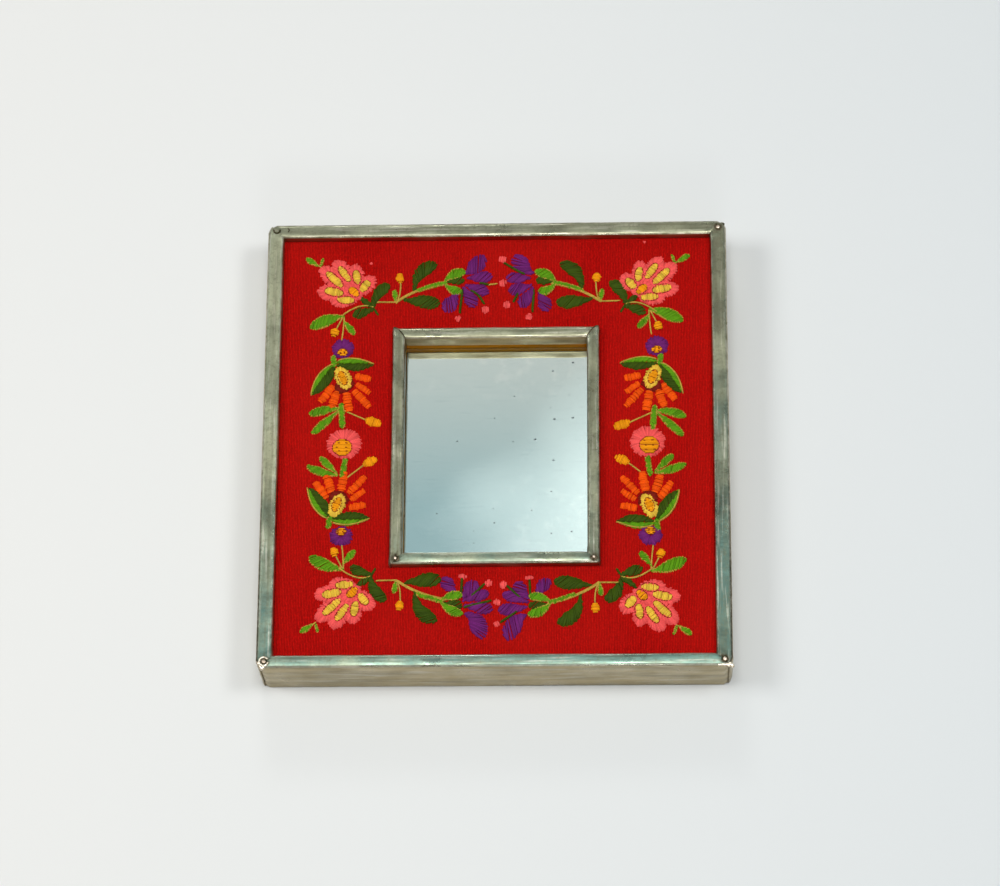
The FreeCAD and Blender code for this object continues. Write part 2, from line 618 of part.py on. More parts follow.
def make_boards(nails):
    """The panel and its cloth, the glass with its card, the back board and what is nailed to it."""
    window = [edge_rectangle("rim_core"), edge_rectangle("slat_outer")]
    panel = padded_body("panel_body", "XY_Plane", window, "panel_thickness", lift="panel_bottom")[0]
    keep(panel, "front_panel")
    cloth = padded_body("cloth_body", "XY_Plane", window, "cloth_thickness", lift="panel_top")[0]
    keep(cloth, "embroidered_cloth")
    pane = [edge_rectangle("glass")]
    keep(padded_body("glass_body", "XY_Plane", pane, "glass_thickness", lift="card_front")[0], "mirror_glass")
    keep(padded_body("card_body", "XY_Plane", pane, "card_thickness", lift="board_front")[0],
         "mirror_backing_card")
    board = box_between("board_box", ("-rim_core_left", "rim_core_right"),
                        ("-rim_core_bottom", "rim_core_top"), ("board_back", "board_front"))
    all_nails = combine("MultiFuse", "back_nail_tools", [nails["back"], nails["hanger"]])
    keep(combine("Cut", "board_cut", [board, all_nails]), "back_board")
    batten_ranges = {
        "top": (("-batten_left", "batten_right"), ("batten_top", "rim_core_top")),
        "bottom": (("-batten_left", "batten_right"), ("-rim_core_bottom", "-batten_bottom")),
        "left": (("-rim_core_left", "-batten_left"), ("-rim_core_bottom", "rim_core_top")),
        "right": (("batten_right", "rim_core_right"), ("-rim_core_bottom", "rim_core_top")),
    }
    for side, (x_range, y_range) in batten_ranges.items():
        bar = box_between(f"batten_box_{side}", x_range, y_range, ("board_front", "panel_bottom"))
        keep(combine("Cut", f"batten_cut_{side}", [bar, nails["back"]]), f"batten_{side}")
    block = box_between("block_box", ("-half_block", "half_block"), ("block_bottom", "batten_top"),
                        ("board_front", "panel_bottom"))
    keep(combine("Cut", "block_cut", [block, nails["hanger"]]), "hanger_block")


def cross_cylinder(name, radius, length):
    """A cylinder along X, centred on the hanger's hinge."""
    cylinder = document.addObject("Part::Cylinder", name)
    cylinder.Placement.Rotation = Rotation(Vector(0, 1, 0), 90)
    cylinder.setExpression("Radius", bound(radius))
    cylinder.setExpression("Height", bound(length))
    cylinder.setExpression("Placement.Base.x", f"-{bound(length)} / 2")
    cylinder.setExpression("Placement.Base.y", bound("hinge_y"))
    cylinder.setExpression("Placement.Base.z", bound("hinge_z"))
    return cylinder


def make_hanger(nails):
    """The strap bent round the bar of a D-shaped ring."""
    tab = document.addObject("Part::Box", "strap_tab")
    tab.setExpression("Length", bound("strap_width"))
    tab.setExpression("Width", bound("strap_length"))
    tab.setExpression("Height", bound("strap_thickness"))
    tab.setExpression("Placement.Base.x", bound("-half_strap"))
    tab.setExpression("Placement.Base.y", "Sizes.hinge_y - Sizes.strap_length")
    tab.setExpression("Placement.Base.z", bound("strap_face"))
    eye = cross_cylinder("strap_eye_outside", "strap_eye", "strap_width")
    bore = cross_cylinder("strap_bore", "ring_bore", "strap_width")
    strap = combine("MultiFuse", "strap_solid", [tab, eye])
    open_strap = combine("Cut", "strap_open", [strap, bore])
    keep(combine("Cut", "strap_cut", [open_strap, nails["hanger"]]), "hanger_strap")

    body = document.addObject("PartDesign::Body", "ring_body")
    path = new_sketch(body, "ring_path", "XZ_Plane")
    add_outline(path, (
        ("0", "0", None, None), ("ring_bar", "0", "ring_corner_radius", "x"),
        ("ring_half_width", "-ring_corner_radius", "ring_half_width", "y"),
        ("0", "-ring_drop", "ring_half_width", "x"),
        ("-ring_half_width", "-ring_corner_radius", "ring_corner_radius", "y"),
        ("-ring_bar", "0", None, None),
    ))
    section = new_sketch(body, "ring_section", "YZ_Plane")
    add_circle(section, "ring_radius")
    pipe = body.newObject("PartDesign::AdditivePipe", "ring_pipe")
    pipe.Profile = section
    pipe.Spine = (path, [])
    body.setExpression("Placement.Base.y", bound("hinge_y"))
    body.setExpression("Placement.Base.z", bound("hinge_z"))
    keep(body, "hanger_ring")


def cloth_band(side):
    """The width of the cloth that shows on one side, from the trim to the rim."""
    return number(f"rim_inner_{side}") - number(f"trim_outer_{side}")


def anchor_place(quarter, out_share, up_share):
    """An anchor's distances out and up from the middle of the box, both positive."""
    distances = []
    for side, share in zip(quarter, (out_share, up_share)):
        trim = number(f"trim_outer_{side}")
        if side in ("top", "bottom"):
            # These shares run from the middle of the opening, which hangs a little low.
            middle = (number("trim_outer_top") - number("trim_outer_bottom")) / 2
            middle = middle if side == "top" else -middle
        else:
            middle = 0
        if share <= 1:
            distances.append(middle + share * (trim - middle))
        else:
            distances.append(trim + (share - 1) * (number(f"rim_inner_{side}") - trim))
    return distances


def edge_through(start, middle, end):
    """An arc through three points, or a line where they lie in a row."""
    if (middle - start).cross(end - start).Length < SAME_PLACE:
        return Part.makeLine(start, end)
    return Part.Arc(start, middle, end).toShape()


def face_inside(edges):
    return Part.Face(Part.Wire(Part.sortEdges(edges)[0]))


def oval_face(start, end, width):
    """An ellipse from one point to the other."""
    along = end - start
    long_half, short_half = along.Length / 2, width / 2
    turn = math.degrees(math.atan2(along.y, along.x))
    if short_half > long_half:
        long_half, short_half, turn = short_half, long_half, turn + 90
    edge = Part.Ellipse(Vector(0, 0, 0), long_half, short_half).toShape()
    edge.Placement = FreeCAD.Placement((start + end) / 2, Rotation(Vector(0, 0, 1), turn))
    return face_inside([edge])


def stitched_face(form, start, end, width, bow):
    """The flat outline of one stitched shape between two points."""
    if form == "oval":
        return oval_face(start, end, width)
    along = end - start
    across = Vector(-along.y, along.x, 0).normalize()
    half = across * (width / 2)
    middle = (start + end) / 2 + across * bow
    if form == "stem":
        return face_inside([
            edge_through(start + half, middle + half, end + half), Part.makeLine(start + half, start - half),
            edge_through(start - half, middle - half, end - half), Part.makeLine(end + half, end - half),
        ])
    if form == "lens":
        return face_inside([edge_through(start, middle + half, end), edge_through(start, middle - half, end)])
    widest = start + along * DROP_WIDEST_SHARE + across * bow
    edges = []
    for side in (half, -half):
        edges.append(edge_through(start, (start + widest) / 2 + side * DROP_BASE_SHARE, widest + side))
        edges.append(edge_through(widest + side, (widest + end) / 2 + side * DROP_TIP_SHARE, end))
    return face_inside(edges)


def stitched_solids(quarter):
    """The raised shapes of one quarter's embroidery, sorted by thread and layer."""
    side_x, side_y = quarter
    sign_x = -1 if side_x == "left" else 1
    sign_y = -1 if side_y == "bottom" else 1
    pattern_width = PATTERN_WIDTH_SHARE * cloth_band(side_x)
    pattern_height = PATTERN_HEIGHT_SHARE * (cloth_band("top") + cloth_band("bottom")) / 2
    scale = min(pattern_width, pattern_height)
    heights = (number("thread_height"), number("upper_thread_height"))
    bases = (number("cloth_top"), number("cloth_top") + number("thread_height"))
    solids = {}
    for motif, (out_share, up_share) in ANCHOR_SHARES[quarter].items():
        out, up = anchor_place(quarter, out_share, up_share)
        for form, thread, layer, start, end, width, bow in MOTIF_SHARES[motif]:
            ends = [Vector(sign_x * (out + u * pattern_width), sign_y * (up + v * pattern_height), bases[layer])
                    for u, v in (start, end)]
            turned_bow = bow * scale * sign_x * sign_y
            face = stitched_face(form, ends[0], ends[1], width * scale, turned_bow)
            solid = face.extrude(Vector(0, 0, heights[layer]))
            solids.setdefault((thread, layer), []).append(solid)
    return solids


def joined(solids):
    """Solids that overlap made into one, and the rest as they are."""
    if len(solids) < 2:
        return solids
    return solids[0].multiFuse(solids[1:]).removeSplitter().Solids


def make_embroidery():
    """Each thread's raised shapes as one group, with the shapes of other threads left clear."""
    kept = {thread: [] for thread in THREAD_ORDER}
    crumb = number("thread_height") ** 3
    layers = {0: [], 1: []}
    for quarter in ANCHOR_SHARES:
        solids = stitched_solids(quarter)
        for layer, lying in layers.items():
            for thread in THREAD_ORDER:
                own = joined(solids.get((thread, layer), []))
                for solid in own:
                    near = [other for other in lying if other.BoundBox.intersect(solid.BoundBox)]
                    left = solid.cut(near).Solids if near else [solid]
                    kept[thread].extend(part for part in left if part.Volume > crumb)
                lying.extend(own)
    for thread in THREAD_ORDER:
        group = document.addObject("Part::Feature", "thread_" + thread)
        group.Shape = Part.makeCompound(kept[thread])
        keep(group, "embroidery_" + thread)


def check_and_export():
    """Stops if anything failed, then writes each piece to its own file."""
    document.recompute()
    for item in document.Objects:
        if {"Invalid", "Error"} & set(item.State):
            raise RuntimeError(f"{item.Name} did not build: {item.State}")
    for piece in pieces:
        if piece.Shape.isNull() or not piece.Shape.isValid():
            raise RuntimeError(f"{piece.Label} has no valid shape")
        if not piece.Shape.Solids:
            raise RuntimeError(f"{piece.Label} has no solid")
    os.makedirs("parts", exist_ok=True)
    for piece in pieces:
        piece.Shape.exportStep(f"parts/{piece.Label}.step")
        box = piece.Shape.BoundBox
        print(f"{piece.Label}: {len(piece.Shape.Solids)} solids, {piece.Shape.Volume:.0f} mm3, "
              f"z {box.ZMin:.2f} to {box.ZMax:.2f}")


def main():
    nails = make_nails()
    make_rim(nails)
    make_trim(nails)
    make_boards(nails)
    make_hanger(nails)
    make_embroidery()
    check_and_export()


main()
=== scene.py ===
import json
import math
import random
from collections import namedtuple
from contextlib import contextmanager

import bmesh
import bpy
from bpy.props import FloatProperty, FloatVectorProperty, IntProperty, PointerProperty
from bpy.types import Operator, Panel, PropertyGroup
from mathutils import Matrix, Vector, noise


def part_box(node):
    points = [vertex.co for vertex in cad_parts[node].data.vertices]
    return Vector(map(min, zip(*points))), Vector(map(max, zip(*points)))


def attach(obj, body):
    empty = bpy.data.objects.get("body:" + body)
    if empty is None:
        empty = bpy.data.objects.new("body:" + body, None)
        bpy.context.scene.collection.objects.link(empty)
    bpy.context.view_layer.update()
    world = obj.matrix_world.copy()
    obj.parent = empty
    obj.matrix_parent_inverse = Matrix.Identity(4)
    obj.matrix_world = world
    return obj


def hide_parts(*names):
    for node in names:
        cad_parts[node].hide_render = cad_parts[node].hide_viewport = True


# A wall mirror with an embroidered red cloth round it and hand-worked tin on its edges.
# It lies on its back: +Z is the way it faces, and +Y is its top. All lengths are in metres.

bl_info = {
    "name": "Embroidered Tin Mirror",
    "version": (1, 0, 0),
    "blender": (4, 5, 0),
    "location": "View3D > Sidebar > Tin Mirror",
    "description": "Dresses a packed wall mirror in tin, embroidered cloth, glass and bare wood",
    "category": "Object",
}

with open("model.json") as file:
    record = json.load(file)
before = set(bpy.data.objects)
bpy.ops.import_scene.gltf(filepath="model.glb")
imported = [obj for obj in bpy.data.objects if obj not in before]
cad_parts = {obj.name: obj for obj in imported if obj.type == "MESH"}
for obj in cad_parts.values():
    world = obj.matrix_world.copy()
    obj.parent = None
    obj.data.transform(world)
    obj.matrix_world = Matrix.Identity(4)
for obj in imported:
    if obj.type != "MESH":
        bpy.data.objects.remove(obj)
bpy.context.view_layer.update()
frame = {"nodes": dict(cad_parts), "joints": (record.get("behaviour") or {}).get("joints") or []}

MM = 0.001
SIDES = ("top", "bottom", "left", "right")
NEIGHBOURS = {"top": ("left", "right"), "bottom": ("left", "right"),
              "left": ("bottom", "top"), "right": ("bottom", "top")}

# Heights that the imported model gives, and the place of its hinge.
CLOTH_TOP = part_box("embroidered_cloth")[1].z
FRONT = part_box("tin_rim_top")[1].z
TIN_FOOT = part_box("tin_trim_top")[0].z
HINGE = Vector(frame["joints"][0]["pos_m"])


def outer_edge(kind, side):
    """How far a strip's outer edge is from the middle."""
    low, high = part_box(f"{kind}_{side}")
    return {"top": high.y, "bottom": -low.y, "left": -low.x, "right": high.x}[side]


def inner_edge(kind, side):
    """How far a strip's inner edge is from the middle."""
    low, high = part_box(f"{kind}_{side}")
    return {"top": low.y, "bottom": -high.y, "left": -high.x, "right": low.x}[side]


def length_setting(name, description, millimetres):
    return FloatProperty(name=name, description=description, default=millimetres * MM,
                         unit="LENGTH", subtype="DISTANCE")


def colour_setting(name, description, *default):
    return FloatVectorProperty(name=name, description=description, default=default, subtype="COLOR")


class TinSizes(PropertyGroup):
    sheet: length_setting("Sheet", "Thickness of the tin", 0.5)
    wave_height: length_setting("Wave Height", "How far the hand-worked tin stands proud", 0.3)
    wave_length: length_setting("Wave Length", "Distance between the tin's shallow waves", 22)
    ragged_edge: length_setting("Ragged Edge", "How uneven the tin's cut edges are", 0.7)
    crown: length_setting("Crown", "How far the tin's face falls from its middle to its edges", 0.25)
    lap: length_setting("Lap", "How far one strip lies over the next at a mitre", 0.9)
    bulge: length_setting("Bulge", "How far a rounded end reaches past a straight one", 1.5)
    dent: length_setting("Dent", "How deep the nails have pressed the tin", 0.25)
    # The tin goes from warm to cool low down and to the right, partly as patina and partly as a painted
    # reflection of the darker room on those sides.
    warm_colour: colour_setting("Warm Tin", "The tin where it has gone dull", 0.280, 0.284, 0.192)
    cool_colour: colour_setting("Cool Tin", "The tin where it has kept its blue", 0.090, 0.148, 0.124)
    wall_colour: colour_setting("Tin Walls", "The tin on the upright sides", 0.43, 0.35, 0.20)
    # Also the colour of the painted highlights on the bends and of the painted glints in bright lines.
    worn_and_highlight_colour: colour_setting("Worn Tin", "The tin where hands have rubbed it", 0.62, 0.58, 0.48)
    stain_colour: colour_setting("Stain", "Dark spots and streaks in the tin", 0.13, 0.12, 0.07)
    # Dirt round nails and in seams, also used as painted shade there and on the lower outer bends of the
    # upright strips.
    grime_colour: colour_setting("Grime", "The dirt round nails and in seams", 0.05, 0.035, 0.02)


class ClothSizes(PropertyGroup):
    cell: length_setting("Cell", "Size of the cloth's mesh cells", 2)
    thickness: length_setting("Thickness", "Thickness of the cloth", 0.5)
    pucker: length_setting("Pucker", "How deep the cloth's shallow puckers are", 0.2)
    yarn_pitch: length_setting("Yarn Pitch", "Distance between upright yarns", 1.05)
    colour: colour_setting("Cloth", "Dyed cotton", 0.67, 0.0062, 0.0042)
    # Also the painted shade in the hollows between the yarns, besides random dark flecks.
    shade: colour_setting("Cloth Shade", "The cloth between its yarns", 0.20, 0.0018, 0.0015)
    slub: colour_setting("Slubs", "Darker runs of yarn", 0.20, 0.0030, 0.0025)
    faded: colour_setting("Faded Cloth", "The cloth where light has faded it", 0.56, 0.012, 0.007)


class StitchSizes(PropertyGroup):
    thread_width: length_setting("Thread Width", "Width of a laid thread", 1.35)
    thread_height: length_setting("Thread Height", "Height of a laid thread", 0.8)
    pitch: length_setting("Pitch", "Distance between two stitches of a filled shape", 1.15)
    raggedness: length_setting("Raggedness", "How unevenly the stitches' ends lie", 0.45)
    dome: length_setting("Dome", "How high the widest shapes are padded", 0.5)
    layer_rise: length_setting("Layer Rise", "How far an upper layer lies above a lower", 0.5)
    seed: IntProperty(name="Seed", description="Changes the unevenness of the stitches", default=7)


class ThreadColours(PropertyGroup):
    gold: colour_setting("Gold", "Buds and flower centres", 0.92, 0.33, 0.003)
    yellow: colour_setting("Yellow", "Insets of the corner flowers", 0.84, 0.53, 0.05)
    orange: colour_setting("Orange", "Petals of the orange flowers", 0.99, 0.095, 0.001)
    pink: colour_setting("Pink", "Petals of the corner and round flowers", 0.96, 0.098, 0.092)
    purple: colour_setting("Purple", "Petals by the middle, and small round flowers", 0.155, 0.014, 0.150)
    bright_green: colour_setting("Bright Green", "Light leaves", 0.11, 0.31, 0.005)
    dark_green: colour_setting("Dark Green", "Dark leaves and thin stems", 0.040, 0.076, 0.002)
    stem_green: colour_setting("Stem Green", "Stems and the edges of light leaves", 0.54, 0.36, 0.055)
    # Partly maroon thread and partly painted shade round the yellow centres of the orange flowers.
    maroon: colour_setting("Maroon", "Round the centres of the orange flowers", 0.20, 0.010, 0.004)
    # Partly brown thread and partly painted shade in the dark gaps round the insets and between the stitches
    # of the centres.
    brown: colour_setting("Brown", "Outlines of the insets, and marks on the centres", 0.26, 0.028, 0.004)


class GlassSizes(PropertyGroup):
    gap: length_setting("Gap", "Clearance of the pane from the wood and the silver", 0.05)
    thickness: length_setting("Pane", "Thickness of the clear glass before its silvering", 0.8)
    bevel: length_setting("Bevel", "Width of the pane's ground edge", 0.4)
    margin: length_setting("Margin", "How far the silvering stays inside the pane's edge", 1.5)
    silver: colour_setting("Silver", "The silvering", 0.83, 0.90, 0.90)
    cloud: colour_setting("Cloud", "The silvering where it has gone cloudy", 0.74, 0.83, 0.84)
    wipe: colour_setting("Wipe", "Level streaks in the silvering", 0.60, 0.70, 0.72)
    speck: colour_setting("Speck", "Dark specks in the silvering", 0.10, 0.14, 0.15)
    smear: colour_setting("Smear", "Pale smears on the glass", 0.95, 0.98, 0.97)


class WoodColours(PropertyGroup):
    stained: colour_setting("Stained Pine", "The wood of the well", 0.86, 0.33, 0.004)
    stained_dark: colour_setting("Stained Grain", "Dark grain of the well", 0.36, 0.125, 0.004)
    pine: colour_setting("Pine", "The unfinished rails and battens", 0.56, 0.36, 0.17)
    pine_dark: colour_setting("Pine Grain", "Dark grain of the pine", 0.33, 0.17, 0.06)
    board: colour_setting("Hardboard", "The back board", 0.20, 0.105, 0.05)
    board_dark: colour_setting("Hardboard Fibre", "Dark fibres of the back board", 0.09, 0.045, 0.02)
    card: colour_setting("Card", "The card behind the glass", 0.42, 0.37, 0.30)
    card_dark: colour_setting("Card Fibre", "Dark fibres of the card", 0.28, 0.24, 0.18)


class SteelColours(PropertyGroup):
    nail: colour_setting("Nail", "The nails in the tin", 0.66, 0.53, 0.43)
    dull_nail: colour_setting("Dull Nail", "The nails at the back", 0.42, 0.39, 0.34)
    # Also the colour of the dark rims and seam wires that paint the shade round the nails and in the trim's
    # top seams.
    wire: colour_setting("Wire", "Blackened wires and seams", 0.045, 0.042, 0.020)
    solder: colour_setting("Solder", "Drops on the lower corners", 0.84, 0.76, 0.62)
    hanger: colour_setting("Hanger", "The strap and its ring", 0.66, 0.63, 0.55)
    rust: colour_setting("Rust", "Dull patches on all the steel", 0.26, 0.20, 0.14)
    tarnish: colour_setting("Tarnish", "Nail heads that have gone quite dull", 0.24, 0.24, 0.15)


class StageSizes(PropertyGroup):
    floor_colour: colour_setting("Floor", "The pale surface under the mirror", 0.795, 0.795, 0.768)
    # Painted shade: the floor is coloured greyer to the right, where less light falls; faint clouds use this
    # colour too.
    floor_shade: colour_setting("Floor Shade", "Where the floor greys to the right", 0.685, 0.722, 0.728)
    floor_size: length_setting("Floor Size", "Length of the floor's side", 24000)
    lens: FloatProperty(name="Lens", description="Focal length, in millimetres", default=133.2)
    lamp_level: FloatProperty(name="Lamp Level", description="Brightness of the soft lamps", default=1.0)
    room: colour_setting("Room", "The walls of the room that the glass catches", 0.58, 0.58, 0.56)
    overhead: colour_setting("Overhead", "The room's ceiling", 0.41, 0.515, 0.55)
    near_wall: colour_setting("Near Wall", "The room below the viewer", 0.36, 0.32, 0.265)
    beyond: colour_setting("Beyond", "The warm patch beyond the ceiling", 0.78, 0.70, 0.665)
    fill_light: colour_setting("Fill Light", "The even light on all surfaces", 0.17, 0.17, 0.17)


# Small general helpers

def smooth_step(low, high, value):
    share = min(1.0, max(0.0, (value - low) / (high - low)))
    return share * share * (3 - 2 * share)


def add_object(name, data):
    """A new object with its data, in the scene."""
    made = bpy.data.objects.new(name, data)
    bpy.context.scene.collection.objects.link(made)
    return made


@contextmanager
def editing(mesh):
    """Opens a mesh for editing, and writes it back."""
    work = bmesh.new()
    work.from_mesh(mesh)
    yield work
    work.to_mesh(mesh)
    work.free()


def new_piece(name, points, faces, crease_angle=35):
    """An object made of points and faces, turned outwards and smooth but for its sharp edges."""
    mesh = bpy.data.meshes.new(name)
    mesh.from_pydata(points, [], faces)
    with editing(mesh) as work:
        bmesh.ops.recalc_face_normals(work, faces=work.faces)
    mesh.shade_smooth()
    mesh.set_sharp_from_angle(angle=math.radians(crease_angle))
    return add_object(name, mesh)


def loft_faces(rows, ring):
    """Faces between neighbouring rows of points, each row a closed ring."""
    return [(a * ring + b, a * ring + (b + 1) % ring, (a + 1) * ring + (b + 1) % ring, (a + 1) * ring + b)
            for a in range(rows - 1) for b in range(ring)]


def store_values(mesh, **columns):
    """Gives every point of a mesh a number under each name."""
    for name, values in columns.items():
        mesh.attributes.new(name, "FLOAT", "POINT").data.foreach_set("value", values)


def tube_along(name, places, radius, closed=False):
    """A wire through the places, in a loop or with its two ends capped."""
    curve = bpy.data.curves.new(name, "CURVE")
    curve.dimensions = "3D"
    curve.bevel_depth = radius
    curve.bevel_resolution = 4
    spline = curve.splines.new("POLY")
    spline.points.add(len(places) - 1)
    for point, place in zip(spline.points, places):
        point.co = (*place, 1.0)
    spline.use_cyclic_u = closed
    curve.use_fill_caps = not closed
    holder = add_object(name, curve)
    graph = bpy.context.evaluated_depsgraph_get()
    mesh = bpy.data.meshes.new_from_object(holder.evaluated_get(graph), depsgraph=graph)
    bpy.data.objects.remove(holder)
    mesh.name = name
    mesh.shade_smooth()
    return add_object(name, mesh)


def arc_places(centre, radius, start, end, count, upright=False):
    """Places on an arc that lies flat or stands across the box, with angles in degrees."""
    rise = Vector((0.0, 0.0, 1.0)) if upright else Vector((0.0, 1.0, 0.0))
    angles = [math.radians(start + (end - start) * step / count) for step in range(count + 1)]
    return [centre + Vector((math.cos(angle) * radius, 0.0, 0.0)) + rise * (math.sin(angle) * radius)
            for angle in angles]


def settle(piece, material, slot, *nodes, body="box"):
    """Gives a finished piece its material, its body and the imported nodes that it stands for."""
    piece.data.materials.clear()
    piece.data.materials.append(material)
    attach(piece, body)
    if nodes:
        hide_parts(*nodes)
    return piece


def dress(node, material):
    """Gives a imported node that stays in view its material."""
    mesh = frame["nodes"][node].data
    mesh.materials.clear()
    mesh.materials.append(material)


def node_islands(node):
    """The middle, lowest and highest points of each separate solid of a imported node."""
    work = bmesh.new()
    work.from_mesh(frame["nodes"][node].data)
    bmesh.ops.remove_doubles(work, verts=work.verts, dist=0.001 * MM)
    seen = set()
    islands = []
    for start in work.verts:
        if start in seen:
            continue
        seen.add(start)
        pending = [start]
        points = []
        while pending:
            vertex = pending.pop()
            points.append(vertex.co.copy())
            others = {edge.other_vert(vertex) for edge in vertex.link_edges} - seen
            seen |= others
            pending += others
        low = Vector([min(point[axis] for point in points) for axis in range(3)])
        high = Vector([max(point[axis] for point in points) for axis in range(3)])
        islands.append(((low + high) / 2, low, high))
    work.free()
    return islands


# Node trees

def fill_inputs(tree, node, inputs):
    """Links a node's inputs to sockets, or sets them to values."""
    for name, value in inputs.items():
        if isinstance(value, bpy.types.NodeSocket):
            tree.links.new(value, node.inputs[name])
        else:
            node.inputs[name].default_value = value


def add_node(tree, kind, inputs=None, **settings):
    """A node with its settings and its inputs."""
    node = tree.nodes.new(kind)
    for name, value in settings.items():
        setattr(node, name, value)
    fill_inputs(tree, node, inputs or {})
    return node


def new_material(name):
    """A material's tree, its principled shader and its object coordinates."""
    material = bpy.data.materials.new(name)
    material.use_nodes = True
    tree = material.node_tree
    shader = tree.nodes["Principled BSDF"]
    coordinates = add_node(tree, "ShaderNodeTexCoord").outputs["Object"]
    return material, tree, shader, coordinates


def stretched(tree, coordinates, scale):
    """Coordinates scaled by a different amount along each axis."""
    return add_node(tree, "ShaderNodeMapping", {"Vector": coordinates, "Scale": scale}).outputs[0]


def axes(tree, vector):
    """The three numbers of a vector, each a socket."""
    return add_node(tree, "ShaderNodeSeparateXYZ", {0: vector}).outputs


def vector_of(tree, *numbers):
    return add_node(tree, "ShaderNodeCombineXYZ", dict(enumerate(numbers))).outputs[0]


def noise_value(tree, coordinates, scale, detail=3.0, roughness=0.5):
    return add_node(tree, "ShaderNodeTexNoise", {
        "Vector": coordinates, "Scale": scale, "Detail": detail, "Roughness": roughness}).outputs[0]


def stretched_noise(tree, coordinates, scale, detail=2.0, roughness=0.5):
    """Noise scaled by a different amount along each axis."""
    return noise_value(tree, stretched(tree, coordinates, scale), 1.0, detail, roughness)


def ranged(tree, value, low, high, to_low=0.0, to_high=1.0):
    """A value's share of the way from low to high, as a number between two others."""
    return add_node(tree, "ShaderNodeMapRange", {
        "Value": value, "From Min": low, "From Max": high, "To Min": to_low, "To Max": to_high}).outputs[0]


def calculated(tree, operation, first, second=0.0):
    return add_node(tree, "ShaderNodeMath", {0: first, 1: second}, operation=operation).outputs[0]


def plus(tree, first, second):
    return calculated(tree, "ADD", first, second)


def times(tree, first, second):
    return calculated(tree, "MULTIPLY", first, second)


def mixed(tree, factor, first, second):
    """A mix of two colours, each a socket or three numbers."""
    first, second = (c if isinstance(c, bpy.types.NodeSocket) else (*c, 1.0) for c in (first, second))
    made = add_node(tree, "ShaderNodeMix", {0: factor, 6: first, 7: second}, data_type="RGBA")
    return made.outputs[2]


def bumped(tree, height, strength, distance, normal=None):
    inputs = {"Height": height, "Strength": strength, "Distance": distance}
    if normal is not None:
        inputs["Normal"] = normal
    return add_node(tree, "ShaderNodeBump", inputs).outputs["Normal"]


def stored(tree, name):
    """A number that the mesh stores under a name."""
    return add_node(tree, "ShaderNodeAttribute", attribute_name=name).outputs["Fac"]


# Materials

# How blue each strip of tin is and how bright its face and its walls are beside the others, partly patina
# and partly a painted reflection of the room, which differs by side; how much more its bends are worn and
# lit with a painted highlight; and how much duller its walls are.
TinLook = namedtuple("TinLook", "blueness brightness wall_brightness wear wall_dullness")
TIN_LOOKS = {
    "rim_top": TinLook(0.0, 0.90, 1.0, 0.0, 0.0),
    "rim_bottom": TinLook(-0.14, 1.74, 1.0, 0.6, 0.0),
    "rim_left": TinLook(-0.05, 1.20, 1.0, 0.0, 0.0),
    "rim_right": TinLook(0.0, 1.0, 1.0, 0.0, 0.0),
    "trim_top": TinLook(-0.35, 1.05, 1.6, 0.4, 0.3),
    "trim_bottom": TinLook(-0.15, 1.35, 0.8, 0.4, 0.0),
    "trim_left": TinLook(-0.35, 0.98, 0.7, 0.0, 0.0),
    "trim_right": TinLook(-0.35, 0.95, 0.7, 0.0, 0.0),
}


def tin_patina_and_reflection(tree, place, look):
    """The tin's colour: bluer low down and to the right, partly patina and partly a painted reflection of
    the darker room on those sides, and browner on its walls.
    """
    tin = bpy.context.scene.mirror_tin
    rightward, upward, _ = axes(tree, place)
    low_down = ranged(tree, upward, 0.12, -0.15, -0.40, 0.45)
    to_right = ranged(tree, rightward, -0.15, 0.15, -0.10, 0.12)
    clouds = noise_value(tree, place, 26.0, 4.0, 0.6)
    blue = plus(tree, plus(tree, low_down, to_right), plus(tree, clouds, look.blueness))
    warm = [channel * look.brightness for channel in tin.warm_colour]
    cool = [channel * look.brightness for channel in tin.cool_colour]
    wall = [channel * look.wall_brightness for channel in tin.wall_colour]
    face = mixed(tree, ranged(tree, blue, 0.35, 0.8), warm, cool)
    return mixed(tree, stored(tree, "wall"), face, wall)


def tin_marks(tree, place, colour, streaks, spots, glint_scale):
    """Dark streaks, painted glints in bright lines and dark spots over the tin's colour, with fewer spots on
    its walls.
    """
    tin = bpy.context.scene.mirror_tin
    colour = mixed(tree, ranged(tree, streaks, 0.42, 0.68, 0.0, 0.55), colour, tin.stain_colour)
    # Bright lines along the grain are painted glints, highlights put into the colour.
    lines = stretched_noise(tree, place, glint_scale)
    colour = mixed(tree, ranged(tree, lines, 0.56, 0.70, 0.0, 0.4), colour, tin.worn_and_highlight_colour)
    spotted = times(tree, ranged(tree, spots, 0.50, 0.72, 0.0, 0.6),
                    ranged(tree, stored(tree, "wall"), 0.0, 1.0, 1.0, 0.3))
    return mixed(tree, spotted, colour, tin.stain_colour)


